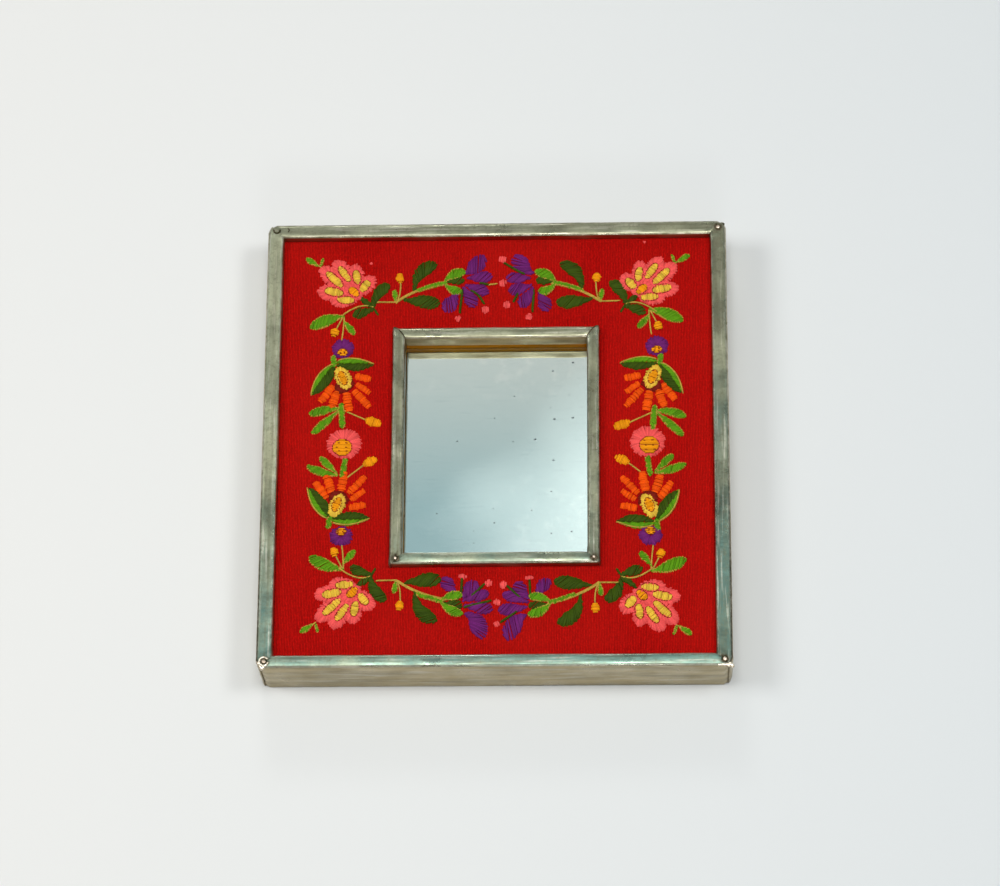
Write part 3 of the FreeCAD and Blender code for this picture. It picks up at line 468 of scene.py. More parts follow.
def tin_material(name):
    """Dull hand-worked tin, marked all over, worn and lit with a painted highlight on its bends, and
    darkened with dirt and painted shade at its nails, seams and lower outer bends.
    """
    look = TIN_LOOKS[name]
    tin = bpy.context.scene.mirror_tin
    material, tree, shader, place = new_material(f"{name}_tin")
    streak_scale = Vector((14, 300, 120) if name.endswith(("top", "bottom")) else (300, 14, 120))
    streaks = stretched_noise(tree, place, streak_scale, 4.0, 0.6)
    spots = noise_value(tree, place, 560.0, 4.0, 0.65)
    patches = noise_value(tree, place, 150.0, 4.0, 0.7)
    colour = tin_marks(tree, place, tin_patina_and_reflection(tree, place, look), streaks, spots, 2.2 * streak_scale)
    # The bends are lightened where worn, and on some strips more, as a painted highlight along the bend.
    worn_and_highlight = times(tree, stored(tree, "ridge"), ranged(tree, patches, 0.40, 0.62, look.wear))
    colour = mixed(tree, worn_and_highlight, colour, tin.worn_and_highlight_colour)
    # Dirt and painted shade darken the tin round its nails, in its seams and on the lower outer bends.
    dirt_and_shade = times(tree, stored(tree, "grime"), ranged(tree, spots, 0.3, 0.6, 0.7, 1.3))
    dirt_and_shade = add_node(tree, "ShaderNodeClamp", {0: dirt_and_shade}).outputs[0]
    roughness = ranged(tree, noise_value(tree, place, 38.0), 0.35, 0.65, 0.25, 0.50)
    for cause, amount in ((worn_and_highlight, -0.14), (stored(tree, "wall"), look.wall_dullness), (dirt_and_shade, 0.3)):
        roughness = plus(tree, roughness, times(tree, cause, amount))
    normal = bumped(tree, noise_value(tree, place, 110.0, 2.0), 0.5, 0.6 * MM)
    for relief, strength, depth in ((patches, 0.5, 0.25), (spots, 0.25, 0.10), (streaks, 0.6, 0.16)):
        normal = bumped(tree, relief, strength, depth * MM, normal)
    fill_inputs(tree, shader, {"Metallic": 1.0, "Roughness": roughness, "Normal": normal,
                               "Base Color": mixed(tree, dirt_and_shade, colour, tin.grime_colour)})
    return material


def steel_material(name, colour, roughness):
    """Small plated steel pieces, with a few dull patches."""
    steel = bpy.context.scene.mirror_steel
    material, tree, shader, place = new_material(name)
    patches = noise_value(tree, place, 420.0)
    aged = mixed(tree, ranged(tree, patches, 0.45, 0.75), colour, steel.rust)
    fill_inputs(tree, shader, {
        "Metallic": 1.0,
        "Base Color": mixed(tree, stored(tree, "dull"), aged, steel.tarnish),
        "Roughness": ranged(tree, patches, 0.3, 0.7, roughness, roughness + 0.25),
        "Normal": bumped(tree, noise_value(tree, place, 1500.0), 0.25, 0.05 * MM)})
    return material


def cloth_material():
    """Plain-woven cotton whose upright yarns stand out."""
    cloth = bpy.context.scene.mirror_cloth
    material, tree, shader, place = new_material("red_cotton")
    shift = times(tree, noise_value(tree, place, 60.0, 2.0), 0.6 * MM)
    rightward, upward, _ = axes(tree, place)
    turn = 2 * math.pi / cloth.yarn_pitch
    warp = calculated(tree, "SINE", times(tree, plus(tree, rightward, shift), turn))
    weft = calculated(tree, "SINE", times(tree, plus(tree, upward, shift), turn * 1.1))
    yarns = plus(tree, times(tree, warp, 0.6), times(tree, times(tree, warp, weft), 0.4))
    height = plus(tree, yarns, stretched_noise(tree, place, (1500.0, 525.0, 1500.0), 3.0))
    knots = stretched_noise(tree, place, (760.0, 608.0, 760.0))
    slubs = stretched_noise(tree, place, (760.0, 130.0, 1.0))
    fade = stretched_noise(tree, place, (22.0, 8.8, 22.0), 4.0)
    # The hollows between the yarns are coloured darker, as painted shade.
    colour = mixed(tree, ranged(tree, height, -0.3, 1.0), cloth.shade, cloth.colour)
    colour = mixed(tree, ranged(tree, knots, 0.38, 0.62, 0.0, 0.45), colour, cloth.shade)
    colour = mixed(tree, ranged(tree, slubs, 0.45, 0.72, 0.0, 0.4), colour, cloth.slub)
    colour = mixed(tree, ranged(tree, fade, 0.35, 0.75, 0.0, 0.3), colour, cloth.faded)
    fill_inputs(tree, shader, {"Base Color": colour, "Roughness": 0.85, "Specular IOR Level": 0.03,
                               "Normal": bumped(tree, height, 0.8, 0.3 * MM)})
    return material


def thread_material(name, colour):
    """Twisted cotton floss: fine strands wind round each stitch, with painted shade in the grooves between
    them, and no two stitches are quite alike.
    """
    material, tree, shader, place = new_material(name)
    twist = plus(tree, times(tree, stored(tree, "around"), 2 * math.pi * 4),
                 times(tree, stored(tree, "along"), 2 * math.pi / (1.6 * MM)))
    strands = calculated(tree, "SINE", twist)
    height = plus(tree, times(tree, strands, 0.3), noise_value(tree, place, 2600.0))
    deep = [channel * 0.74 for channel in colour]
    pale = [min(1.0, channel * 1.14) for channel in colour]
    # Painted shade in the grooves between the twisted strands.
    crease_shade = [channel * 0.4 for channel in colour]
    mottled = mixed(tree, stored(tree, "shade"), deep, pale)
    crease_shaded = mixed(tree, ranged(tree, height, 0.1, 0.9, 0.33, 0.0), mottled, crease_shade)
    fill_inputs(tree, shader, {"Base Color": crease_shaded, "Roughness": 0.6, "Specular IOR Level": 0.09,
                               "Normal": bumped(tree, height, 0.5, 0.08 * MM)})
    return material


def wood_material(name, light, dark, along, coarse=1.0):
    """Straight-grained wood whose grain runs along x or y."""
    material, tree, shader, place = new_material(name)
    wide, long = 70.0 * coarse, 5.0 * coarse
    scale = Vector((long, wide, wide) if along == "x" else (wide, long, wide))
    rings = stretched_noise(tree, place, scale, 6.0, 0.62)
    pores = stretched_noise(tree, place, scale * 9)
    colour = mixed(tree, ranged(tree, rings, 0.36, 0.66), dark, light)
    fill_inputs(tree, shader, {
        "Base Color": mixed(tree, ranged(tree, pores, 0.5, 0.75, 0.0, 0.35), colour, dark),
        "Roughness": ranged(tree, rings, 0.3, 0.7, 0.62, 0.8), "Specular IOR Level": 0.06,
        "Normal": bumped(tree, pores, 0.35, 0.15 * MM)})
    return material


def board_material(name, light, dark, fibre_scale):
    """Pressed board or card: short fibres lying every way."""
    material, tree, shader, place = new_material(name)
    fibres = noise_value(tree, place, fibre_scale, 6.0, 0.7)
    clouds = noise_value(tree, place, 18.0)
    colour = mixed(tree, ranged(tree, fibres, 0.35, 0.65), dark, light)
    fill_inputs(tree, shader, {
        "Base Color": mixed(tree, ranged(tree, clouds, 0.4, 0.7, 0.0, 0.3), colour, dark),
        "Roughness": 0.8, "Specular IOR Level": 0.25, "Normal": bumped(tree, fibres, 0.4, 0.2 * MM)})
    return material


def specks(tree, place):
    """Where the silvering has dark specks, which are larger and more to the right."""
    cells = add_node(tree, "ShaderNodeTexVoronoi", {
        "Vector": stretched(tree, place, (0.7, 1.0, 1.0)), "Scale": 110.0}, voronoi_dimensions="2D")
    to_right = ranged(tree, axes(tree, place)[0], -0.05, 0.05, -0.09, 0.08)
    picked = plus(tree, axes(tree, cells.outputs["Color"])[0], to_right)
    size = ranged(tree, picked, 0.62, 1.02, -0.02, 0.07)
    outside = calculated(tree, "SUBTRACT", cells.outputs["Distance"], size)
    return ranged(tree, outside, -0.012, 0.012, 0.85, 0.0)


def silver_material():
    """The silvering behind the glass, with dark specks, clouds and smears."""
    glass = bpy.context.scene.mirror_glass
    material, tree, shader, place = new_material("old_silvering")
    clouds = noise_value(tree, place, 14.0, 5.0)
    smears = times(tree, ranged(tree, noise_value(tree, place, 85.0, 4.0, 0.65), 0.52, 0.66),
                   ranged(tree, clouds, 0.48, 0.62, 0.0, 0.5))
    wipes = stretched_noise(tree, place, (60.0, 700.0, 1.0), 3.0)
    speck = specks(tree, place)
    colour = mixed(tree, ranged(tree, clouds, 0.4, 0.75, 0.0, 0.25), glass.silver, glass.cloud)
    colour = mixed(tree, smears, colour, glass.smear)
    colour = mixed(tree, ranged(tree, wipes, 0.58, 0.74, 0.0, 0.25), colour, glass.wipe)
    fill_inputs(tree, shader, {"Base Color": mixed(tree, speck, colour, glass.speck), "Metallic": 1.0,
                               "Roughness": ranged(tree, speck, 0.0, 1.0, 0.03, 0.35)})
    return material


def glass_material():
    """Clear old glass, faintly green and not quite flat."""
    material, tree, shader, place = new_material("clear_glass")
    ripple = noise_value(tree, place, 16.0, 1.0)
    fill_inputs(tree, shader, {
        "Base Color": (0.93, 0.98, 0.96, 1.0), "Transmission Weight": 1.0, "IOR": 1.5, "Roughness": 0.0,
        "Normal": bumped(tree, ripple, 0.03, 0.3 * MM)})
    return material


def floor_material():
    """A pale matt surface with a painted shade that greys it a little to the right, and faint clouds."""
    stage = bpy.context.scene.mirror_stage
    material, tree, shader, place = new_material("pale_table")
    # Painted shade: the floor greys towards the right, where the light falls off.
    to_right = ranged(tree, axes(tree, place)[0], -0.35, 0.40)
    colour = mixed(tree, to_right, stage.floor_colour, stage.floor_shade)
    clouds = ranged(tree, noise_value(tree, place, 1.4, 2.0), 0.0, 1.0, 0.0, 0.3)
    fill_inputs(tree, shader, {
        "Base Color": mixed(tree, clouds, colour, stage.floor_shade), "Roughness": 0.6,
        "Specular IOR Level": 0.1, "Normal": bumped(tree, noise_value(tree, place, 900.0), 0.04, 0.1 * MM)})
    return material


# Geometry node trees

def new_tree(name, settings):
    """A geometry tree with named inputs, and its group input and output nodes."""
    tree = bpy.data.node_groups.new(name, "GeometryNodeTree")
    tree.interface.new_socket("Geometry", in_out="INPUT", socket_type="NodeSocketGeometry")
    for title, kind in settings:
        tree.interface.new_socket(title, in_out="INPUT", socket_type=kind)
    tree.interface.new_socket("Geometry", in_out="OUTPUT", socket_type="NodeSocketGeometry")
    return tree, tree.nodes.new("NodeGroupInput"), tree.nodes.new("NodeGroupOutput")


def close_tree(tree, source, target, geometry):
    """Ends a tree: instances made real, faces smooth, and the material set."""
    real = add_node(tree, "GeometryNodeRealizeInstances", {"Geometry": geometry})
    smooth = add_node(tree, "GeometryNodeSetShadeSmooth", {0: real.outputs[0]})
    finish = add_node(tree, "GeometryNodeSetMaterial", {
        "Geometry": smooth.outputs[0], "Material": source.outputs["Material"]})
    tree.links.new(finish.outputs[0], target.inputs[0])


def store_attribute(tree, geometry, name, value):
    """A geometry whose points each store a number under a name."""
    inputs = {"Geometry": geometry, "Name": name, "Value": value}
    node = add_node(tree, "GeometryNodeStoreNamedAttribute", inputs, data_type="FLOAT", domain="POINT")
    return node.outputs[0]


def random_share(tree, **inputs):
    """A random number from none to 1 for each point."""
    return add_node(tree, "FunctionNodeRandomValue", inputs, data_type="FLOAT").outputs[1]


def stitch_tree():
    """Each run of edges becomes one laid thread, with a shade of its own."""
    tree, source, target = new_tree("Laid Thread", (
        ("Thread Width", "NodeSocketFloat"), ("Thread Height", "NodeSocketFloat"),
        ("Seed", "NodeSocketInt"), ("Material", "NodeSocketMaterial")))
    given = source.outputs
    curve = add_node(tree, "GeometryNodeMeshToCurve", {0: given["Geometry"]}).outputs[0]
    curve = add_node(tree, "GeometryNodeSetCurveNormal", {"Curve": curve}, mode="Z_UP").outputs[0]
    place = add_node(tree, "GeometryNodeSplineParameter").outputs
    owner = add_node(tree, "GeometryNodeCurveOfPoint").outputs["Curve Index"]
    curve = store_attribute(tree, curve, "along", place["Length"])
    curve = store_attribute(tree, curve, "shade", random_share(tree, ID=owner, Seed=given["Seed"]))
    circle = add_node(tree, "GeometryNodeCurvePrimitiveCircle", {"Resolution": 6, "Radius": 0.5})
    turn = add_node(tree, "GeometryNodeSplineParameter").outputs["Factor"]
    section = store_attribute(tree, circle.outputs[0], "around", turn)
    scale = vector_of(tree, given["Thread Width"], given["Thread Height"], 1.0)
    profile = add_node(tree, "GeometryNodeTransform", {"Geometry": section, "Scale": scale})
    tube = add_node(tree, "GeometryNodeCurveToMesh", {
        "Curve": curve, "Profile Curve": profile.outputs[0], "Fill Caps": True})
    close_tree(tree, source, target, tube.outputs[0])
    return tree


def bead_tree():
    """A flattened bead on each point, each a little different in size and turn."""
    tree, source, target = new_tree("Beads On Points", (
        ("Radius", "NodeSocketFloat"), ("Rise", "NodeSocketFloat"), ("Unevenness", "NodeSocketFloat"),
        ("Seed", "NodeSocketInt"), ("Material", "NodeSocketMaterial")))
    given = source.outputs
    ball = add_node(tree, "GeometryNodeMeshUVSphere", {"Segments": 16, "Rings": 10, "Radius": 1.0})
    spread = vector_of(tree, given["Radius"], given["Radius"], given["Rise"])
    flat = add_node(tree, "GeometryNodeTransform", {"Geometry": ball.outputs[0], "Scale": spread})
    chance = random_share(tree, Seed=given["Seed"])
    rotation = vector_of(tree, 0.0, 0.0, times(tree, chance, 2 * math.pi))
    bigger = plus(tree, times(tree, chance, given["Unevenness"]), 1.0)
    bulk = add_node(tree, "GeometryNodeInputNamedAttribute", {"Name": "bulk"}, data_type="FLOAT").outputs[0]
    placed = add_node(tree, "GeometryNodeInstanceOnPoints", {
        "Points": given["Geometry"], "Instance": flat.outputs[0], "Rotation": rotation,
        "Scale": vector_of(tree, times(tree, bigger, bulk), bulk, bulk)})
    close_tree(tree, source, target, placed.outputs[0])
    return tree


def run_tree(piece, tree, values):
    """Runs a tree on a piece, and leaves the piece as a plain mesh."""
    modifier = piece.modifiers.new(tree.name, "NODES")
    modifier.node_group = tree
    for item in tree.interface.items_tree:
        if item.item_type == "SOCKET" and item.in_out == "INPUT" and item.name in values:
            modifier[item.identifier] = values[item.name]
    graph = bpy.context.evaluated_depsgraph_get()
    made = bpy.data.meshes.new_from_object(piece.evaluated_get(graph), depsgraph=graph,
                                           preserve_all_data_layers=True)
    piece.modifiers.clear()
    piece.data = made
    made.name = piece.name
    return piece


# Folded tin

# How the strips meet: over lies on its neighbour, under runs beneath it, and rounded lies over it
# with a bulging end.
RIM_JOINTS = {"top": ("under", "under"), "bottom": ("under", "under"),
              "left": ("over", "over"), "right": ("over", "over")}
TRIM_JOINTS = {"top": ("under", "under"), "bottom": ("under", "under"),
               "left": ("over", "rounded"), "right": ("over", "rounded")}

# How much dirt and painted shade darken the tin by each kind of joint, most where a strip runs under the
# next and the lap shades it.
SEAM_DIRT_AND_SHADE = {"over": 0.1, "under": 0.95, "rounded": 0.1}

# How far apart the points of the folded tin are, over a strip's section, round its bends and along it.
SECTION_STEP = 2.4 * MM
BEND_STEP = 0.5 * MM
STATION_STEP = 3 * MM

# How far the rim's hem runs in under the back of the box, and how round the corners of the rim and
# of the trim are, seen from the front.
HEM = 7 * MM
RIM_CORNER = 6 * MM
TRIM_CORNER = 0.8 * MM

# How far the dent at a nail reaches, how far the dirt and painted shade round it reach, and how thick they
# lie.
DENT_REACH = 2.6 * MM
NAIL_DIRT_AND_SHADE_REACH = 3.1 * MM
NAIL_DIRT_AND_SHADE = 1.1


def strip_data(kind, side, corner_radius, joints):
    """What a folded strip's shape follows: how far it reaches, its width and how its ends meet."""
    low, high = NEIGHBOURS[side]
    return {
        "side": side,
        "reach": (outer_edge(kind, low), outer_edge(kind, high)),
        "out": outer_edge(kind, side),
        "width": outer_edge(kind, side) - inner_edge(kind, side),
        "end_widths": tuple(outer_edge(kind, end) - inner_edge(kind, end) for end in (low, high)),
        "radius": corner_radius,
        "joints": joints[side],
    }


def rounded_path(corners, step):
    """Points with outward normals along a path with rounded corners, as (inset, height) pairs.

    Each corner is an inset, a height and a radius. The path runs with the outside on its left.
    """
    places = [Vector((inset, height)) for inset, height, _ in corners]
    last = len(places) - 1
    samples = []
    entry = places[0]
    for index in range(1, len(places)):
        before = (places[index] - places[index - 1]).normalized()
        normal = Vector((-before.y, before.x))
        radius = corners[index][2] if index < last else 0.0
        leave = places[index] - before * radius
        runs = max(1, math.ceil((leave - entry).length / step))
        for run in range(runs + (index == last)):
            samples.append((entry.lerp(leave, run / runs), normal))
        if index == last:
            break
        after = (places[index + 1] - places[index]).normalized()
        next_normal = Vector((-after.y, after.x))
        centre = leave - normal * radius
        bends = max(2, math.ceil(radius / BEND_STEP))
        for bend in range(bends):
            angle = math.pi / 2 * bend / bends
            turned = normal * math.cos(angle) + next_normal * math.sin(angle)
            samples.append((centre + turned * radius, turned))
        entry = centre + next_normal * radius
    return samples


def plan_place(strip, inset, station, extra):
    """Where a point lies in plan: along the side, out from the middle, and its outward direction."""
    end = 1 if station > 0 else 0
    radius = strip["radius"]
    straight = strip["reach"][end] - radius
    if inset >= radius:
        slope = (strip["end_widths"][end] - radius) / (strip["width"] - radius)
        travel = abs(station) * (straight - (inset - radius) * slope + extra)
        along, out, normal = travel, strip["out"] - inset, (0.0, 1.0)
    else:
        bend = radius - inset
        travel = abs(station) * (straight + bend * math.pi / 4)
        if travel <= straight:
            along, out, normal = travel, strip["out"] - inset, (0.0, 1.0)
        else:
            angle = (travel - straight) / bend
            normal = (math.sin(angle), math.cos(angle))
            along = straight + bend * normal[0]
            out = strip["out"] - radius + bend * normal[1]
        along += extra * abs(station) * math.sqrt(0.5)
        out -= extra * abs(station) * math.sqrt(0.5) if travel > straight else 0.0
    sign = 1 if station >= 0 else -1
    return sign * along, out, (sign * normal[0], normal[1])


def side_vector(side, along, out, height):
    """A place or direction given along and out from one side, in the frame's own axes."""
    return {
        "top": Vector((along, out, height)), "bottom": Vector((along, -out, height)),
        "left": Vector((-out, along, height)), "right": Vector((out, along, height)),
    }[side]


def end_shift(strip, station, inset, tin):
    """How far past its mitre a strip runs at one end, and how high it rides there."""
    end, from_end = nearer_end(strip, station)
    joint = strip["joints"][end]
    if joint == "under":
        return tin.lap, -0.5 * tin.sheet * (1 - smooth_step(1.5 * MM, 5 * MM, from_end))
    lift = 0.7 * tin.sheet * (1 - smooth_step(2 * MM, 7 * MM, from_end))
    if joint == "over":
        return tin.lap, lift
    share = min(1.0, inset / strip["width"])
    return tin.lap * min(1.0, 2 * share) + tin.bulge * math.sin(math.pi * share), lift


def wave(tin, point, direction):
    """How far the tin stands proud at a place."""
    broad = noise.noise(point / tin.wave_length)
    small = noise.noise(point / (tin.wave_length * 0.3) + Vector((7.0, 3.0, 5.0)))
    facing = 0.35 + 0.65 * abs(direction.z)
    return tin.wave_height * facing * max(0.0, 0.5 + 0.5 * broad + 0.22 * small)


def nearer_end(strip, station):
    """Which end of a strip is nearer, and how far off it is."""
    end = 1 if station > 0 else 0
    return end, (1 - abs(station)) * strip["reach"][end]


def seam_dirt_and_shade(strip, station):
    """The dirt and painted shade in the seam where a strip meets the next."""
    end, from_end = nearer_end(strip, station)
    return SEAM_DIRT_AND_SHADE[strip["joints"][end]] * (1 - smooth_step(0.6 * MM, 2.1 * MM, from_end))


def low_painted_shade(side, turned, point):
    """Painted shade on the outer bends of the upright strips, which deepens towards the bottom."""
    if side in ("top", "bottom") or turned.x > 0:
        return 0.0
    return 0.85 * bend_share(turned) * smooth_step(0.0, -0.11, point.y)


def bend_share(turned):
    """How near to the middle of a bend a place is, from its normal: none on a flat, and 1 in the middle."""
    return (1 - max(abs(turned.x), abs(turned.y))) / (1 - math.sqrt(0.5))


def tin_place(strip, station, place, turned, ragged, nails):
    """The outer and the inner point of a strip at one place, and how much dirt and painted shade darken it
    there.
    """
    tin = bpy.context.scene.mirror_tin
    side = strip["side"]
    extra, lift = end_shift(strip, station, place.x, tin)
    along, out, plan_normal = plan_place(strip, place.x, station, extra)
    direction = side_vector(side, -turned.x * plan_normal[0], -turned.x * plan_normal[1], turned.y)
    point = side_vector(side, along, out, place.y)
    # The hem lies flat on what the mirror rests on.
    proud = 0.0 if turned.y < -0.1 else wave(tin, point, direction) + lift
    off_middle = 2 * place.x / strip["width"] - 1
    proud -= tin.crown * max(0.0, turned.y) * min(1.0, off_middle ** 2)
    if ragged > 0:
        point.z += tin.ragged_edge * ragged * (0.5 + 0.5 * noise.noise(point / (6 * MM)))
    near = min(((point - nail).length for nail in nails), default=1.0)
    proud -= tin.dent * math.exp(-(near / DENT_REACH) ** 2)
    # Dirt and painted shade round the nail heads.
    nail_dirt_and_shade = NAIL_DIRT_AND_SHADE * math.exp(-(near / NAIL_DIRT_AND_SHADE_REACH) ** 4)
    grime = max(seam_dirt_and_shade(strip, station), nail_dirt_and_shade, low_painted_shade(side, turned, point))
    return point + direction * proud, point + direction * (proud - tin.sheet), grime


def folded_strip(name, strip, corners, nails, ragged_points):
    """A strip of tin folded along a path, waved, lapped at its mitres and darkened round its nails, in its
    seams and on its lower outer bends with dirt and painted shade.

    Its edge is uneven over the last points of the path.
    """
    path = rounded_path(corners, SECTION_STEP)
    count = round(sum(strip["reach"]) / STATION_STEP)
    points = []
    grime = []
    for number in range(count + 1):
        even = 2 * number / count - 1
        station = even * (1.25 - 0.25 * even * even)
        row = []
        for index, (place, turned) in enumerate(path):
            ragged = (index + 1 + ragged_points - len(path)) / ragged_points
            row.append(tin_place(strip, station, place, turned, ragged, nails))
        outer, inner, dirt_and_shade = zip(*row)
        points += outer + inner[::-1]
        grime += dirt_and_shade + dirt_and_shade[::-1]
    ring = 2 * len(path)
    faces = loft_faces(count + 1, ring)
    for start in (0, count * ring):
        faces += [(start + b, start + b + 1, start + ring - b - 2, start + ring - b - 1)
                  for b in range(len(path) - 1)]
    piece = new_piece(name, points, faces)
    both_skins = [turned for _, turned in path + path[::-1]]
    ridges = [bend_share(turned) for turned in both_skins]
    walls = [float(abs(turned.x) > 0.8) for turned in both_skins]
    store_values(piece.data, grime=grime, ridge=ridges * (count + 1), wall=walls * (count + 1))
    return piece


def nails_with_dirt_and_shade(node):
    """The nails of a group round which dirt and painted shade darken the tin, each on the surface that it
    holds down.
    """
    tops = [Vector((middle.x, middle.y, FRONT)) for middle, *_ in node_islands(node)]
    return [top for top in tops if not nail_look(node, top)[1]]


def nail_look(node, place):
    """How large and how dull a nail head is: those of the trim's top corners are beaten flat."""
    if node == "trim_nails" and place.y > 0:
        return 0.7, 1.0
    if node == "rim_nails" and place.y > 0 and place.x < 0:
        return 0.8, 0.5
    return 0.72, 0.0


class MIRROR_OT_make_rim(Operator):
    """Folds four strips of tin over the outer edge of the box"""
    bl_idname = "mirror.make_rim"
    bl_label = "Tin Rim"

    def execute(self, context):
        nails = nails_with_dirt_and_shade("rim_nails")
        for side in SIDES:
            strip = strip_data("tin_rim", side, RIM_CORNER, RIM_JOINTS)
            width = strip["width"]
            corners = ((HEM, 0.0, 0.0), (0.0, 0.0, 0.9 * MM), (0.0, FRONT, 2.0 * MM),
                       (width, FRONT, 1.7 * MM), (width, CLOTH_TOP + 0.1 * MM, 0.0))
            piece = folded_strip(f"rim_tin_{side}", strip, corners, nails, ragged_points=2)
            settle(piece, tin_material(f"rim_{side}"), "tin", f"tin_rim_{side}")
        return {"FINISHED"}


class MIRROR_OT_make_trim(Operator):
    """Folds four narrow strips of tin over the edge of the opening"""
    bl_idname = "mirror.make_trim"
    bl_label = "Tin Trim"

    def execute(self, context):
        nails = nails_with_dirt_and_shade("trim_nails")
        for side in SIDES:
            strip = strip_data("tin_trim", side, TRIM_CORNER, TRIM_JOINTS)
            width = strip["width"]
            corners = ((0.0, CLOTH_TOP, 0.0), (0.0, FRONT, 2.0 * MM), (width, FRONT, 1.8 * MM),
                       (width, TIN_FOOT + 0.8 * MM, 0.0))
            piece = folded_strip(f"trim_tin_{side}", strip, corners, nails, ragged_points=3)
            settle(piece, tin_material(f"trim_{side}"), "tin", f"tin_trim_{side}")
        return {"FINISHED"}


# Nails and solder

# How far a bead's middle lies below the top of a nail in front, more for a dull one, how far it lies
# above the lowest point of a nail behind, and how flat all beads are.
FRONT_NAIL_SUNK = 0.75 * MM
DULL_NAIL_SUNK = 0.45 * MM
BACK_NAIL_SUNK = 0.68 * MM
BEAD_RISE = 0.8 * MM

# Drops of solder on the lower corners: the strips, the side, how far in from the side and from
# the bottom, and the size beside the others. The last ones have run together, smaller to the left.
SOLDER_DROPS = [
    ("tin_rim", "left", 1.9 * MM, 3.4 * MM, 1.2), ("tin_rim", "left", 4.6 * MM, 0.8 * MM, 1.6),
    ("tin_rim", "left", 3.1 * MM, 1.3 * MM, 1.2), ("tin_rim", "left", 9.2 * MM, 7.4 * MM, 0.7),
    ("tin_rim", "right", 8.8 * MM, 7.9 * MM, 0.9), ("tin_trim", "left", 1.6 * MM, 1.3 * MM, 0.75),
    ("tin_trim", "right", 1.4 * MM, 1.2 * MM, 0.6), ("tin_trim", "right", 2.5 * MM, 2.4 * MM, 0.5),
]
SOLDER_DROPS += [
    ("tin_rim", "right", (1.2 + 1.15 * step) * MM, (0.7 + 0.05 * step) * MM, 1.5 - 0.09 * step)
    for step in range(8)
]

# Dark arcs by the nails, partly blackened wire and rust and partly painted shade round the nail heads
# and in the gaps beside them: the nails, the corner across and along, the shift from the nail, the arc's
# radius, its first and last angle in degrees, and its thickness. The lengths are in millimetres.
WIRES_AND_SHADE_RINGS = (
    ("rim_nails", (-1, 1), (0.6, 0.7, 0.6), 2.1, 170, 370, 0.6),
    ("rim_nails", (-1, 1), (7.4, 0.8, 0.2), 1.5, -60, 70, 0.4),
    ("rim_nails", (1, 1), (0.0, 0.2, 0.2), 2.0, 110, 330, 0.6),
    ("rim_nails", (1, 1), (3.4, 2.0, -0.7), 0.7, 0, 300, 0.6),
    ("rim_nails", (-1, -1), (0.0, 0.0, 0.0), 1.7, 10, 350, 0.5),
    ("rim_nails", (1, -1), (0.0, 0.0, 0.0), 1.8, 10, 350, 0.5),
    ("trim_nails", (-1, -1), (0.4, -0.3, 0.1), 1.8, -140, 70, 0.6),
    ("trim_nails", (1, -1), (0.0, -0.3, 0.1), 1.8, 180, 360, 0.6),
)


def points_piece(name, places, bulks, dulls):
    """An object of loose points, each with a size and a dullness, for a tree to work on."""
    mesh = bpy.data.meshes.new(name)
    mesh.from_pydata(places, [], [])
    store_values(mesh, bulk=bulks, dull=dulls)
    return add_object(name, mesh)


def seam_shadow_places(side):
    """The painted shadow in the seam at a top corner of the trim, as a dark wire along the rounded end of
    the side strip.
    """
    tin = bpy.context.scene.mirror_tin
    strip = strip_data("tin_trim", side, 0.0, TRIM_JOINTS)
    places = []
    for step in range(13):
        share = 0.08 + 0.92 * step / 12
        inset = strip["width"] * share
        extra, _ = end_shift(strip, 1.0, inset, tin)
        along = strip["reach"][1] - inset * strip["end_widths"][1] / strip["width"] + extra
        height = FRONT + (0.3 - 1.2 * abs(2 * share - 1) ** 5) * MM
        places.append(side_vector(side, along, strip["out"] - inset, height))
    return places


def nail_top(node, across, along):
    """The surface that one corner's nail holds down."""
    for middle, *_ in node_islands(node):
        if middle.x * across > 0 and middle.y * along > 0:
            return Vector((middle.x, middle.y, FRONT))
    raise ValueError(f"{node} has no nail at {across}, {along}")


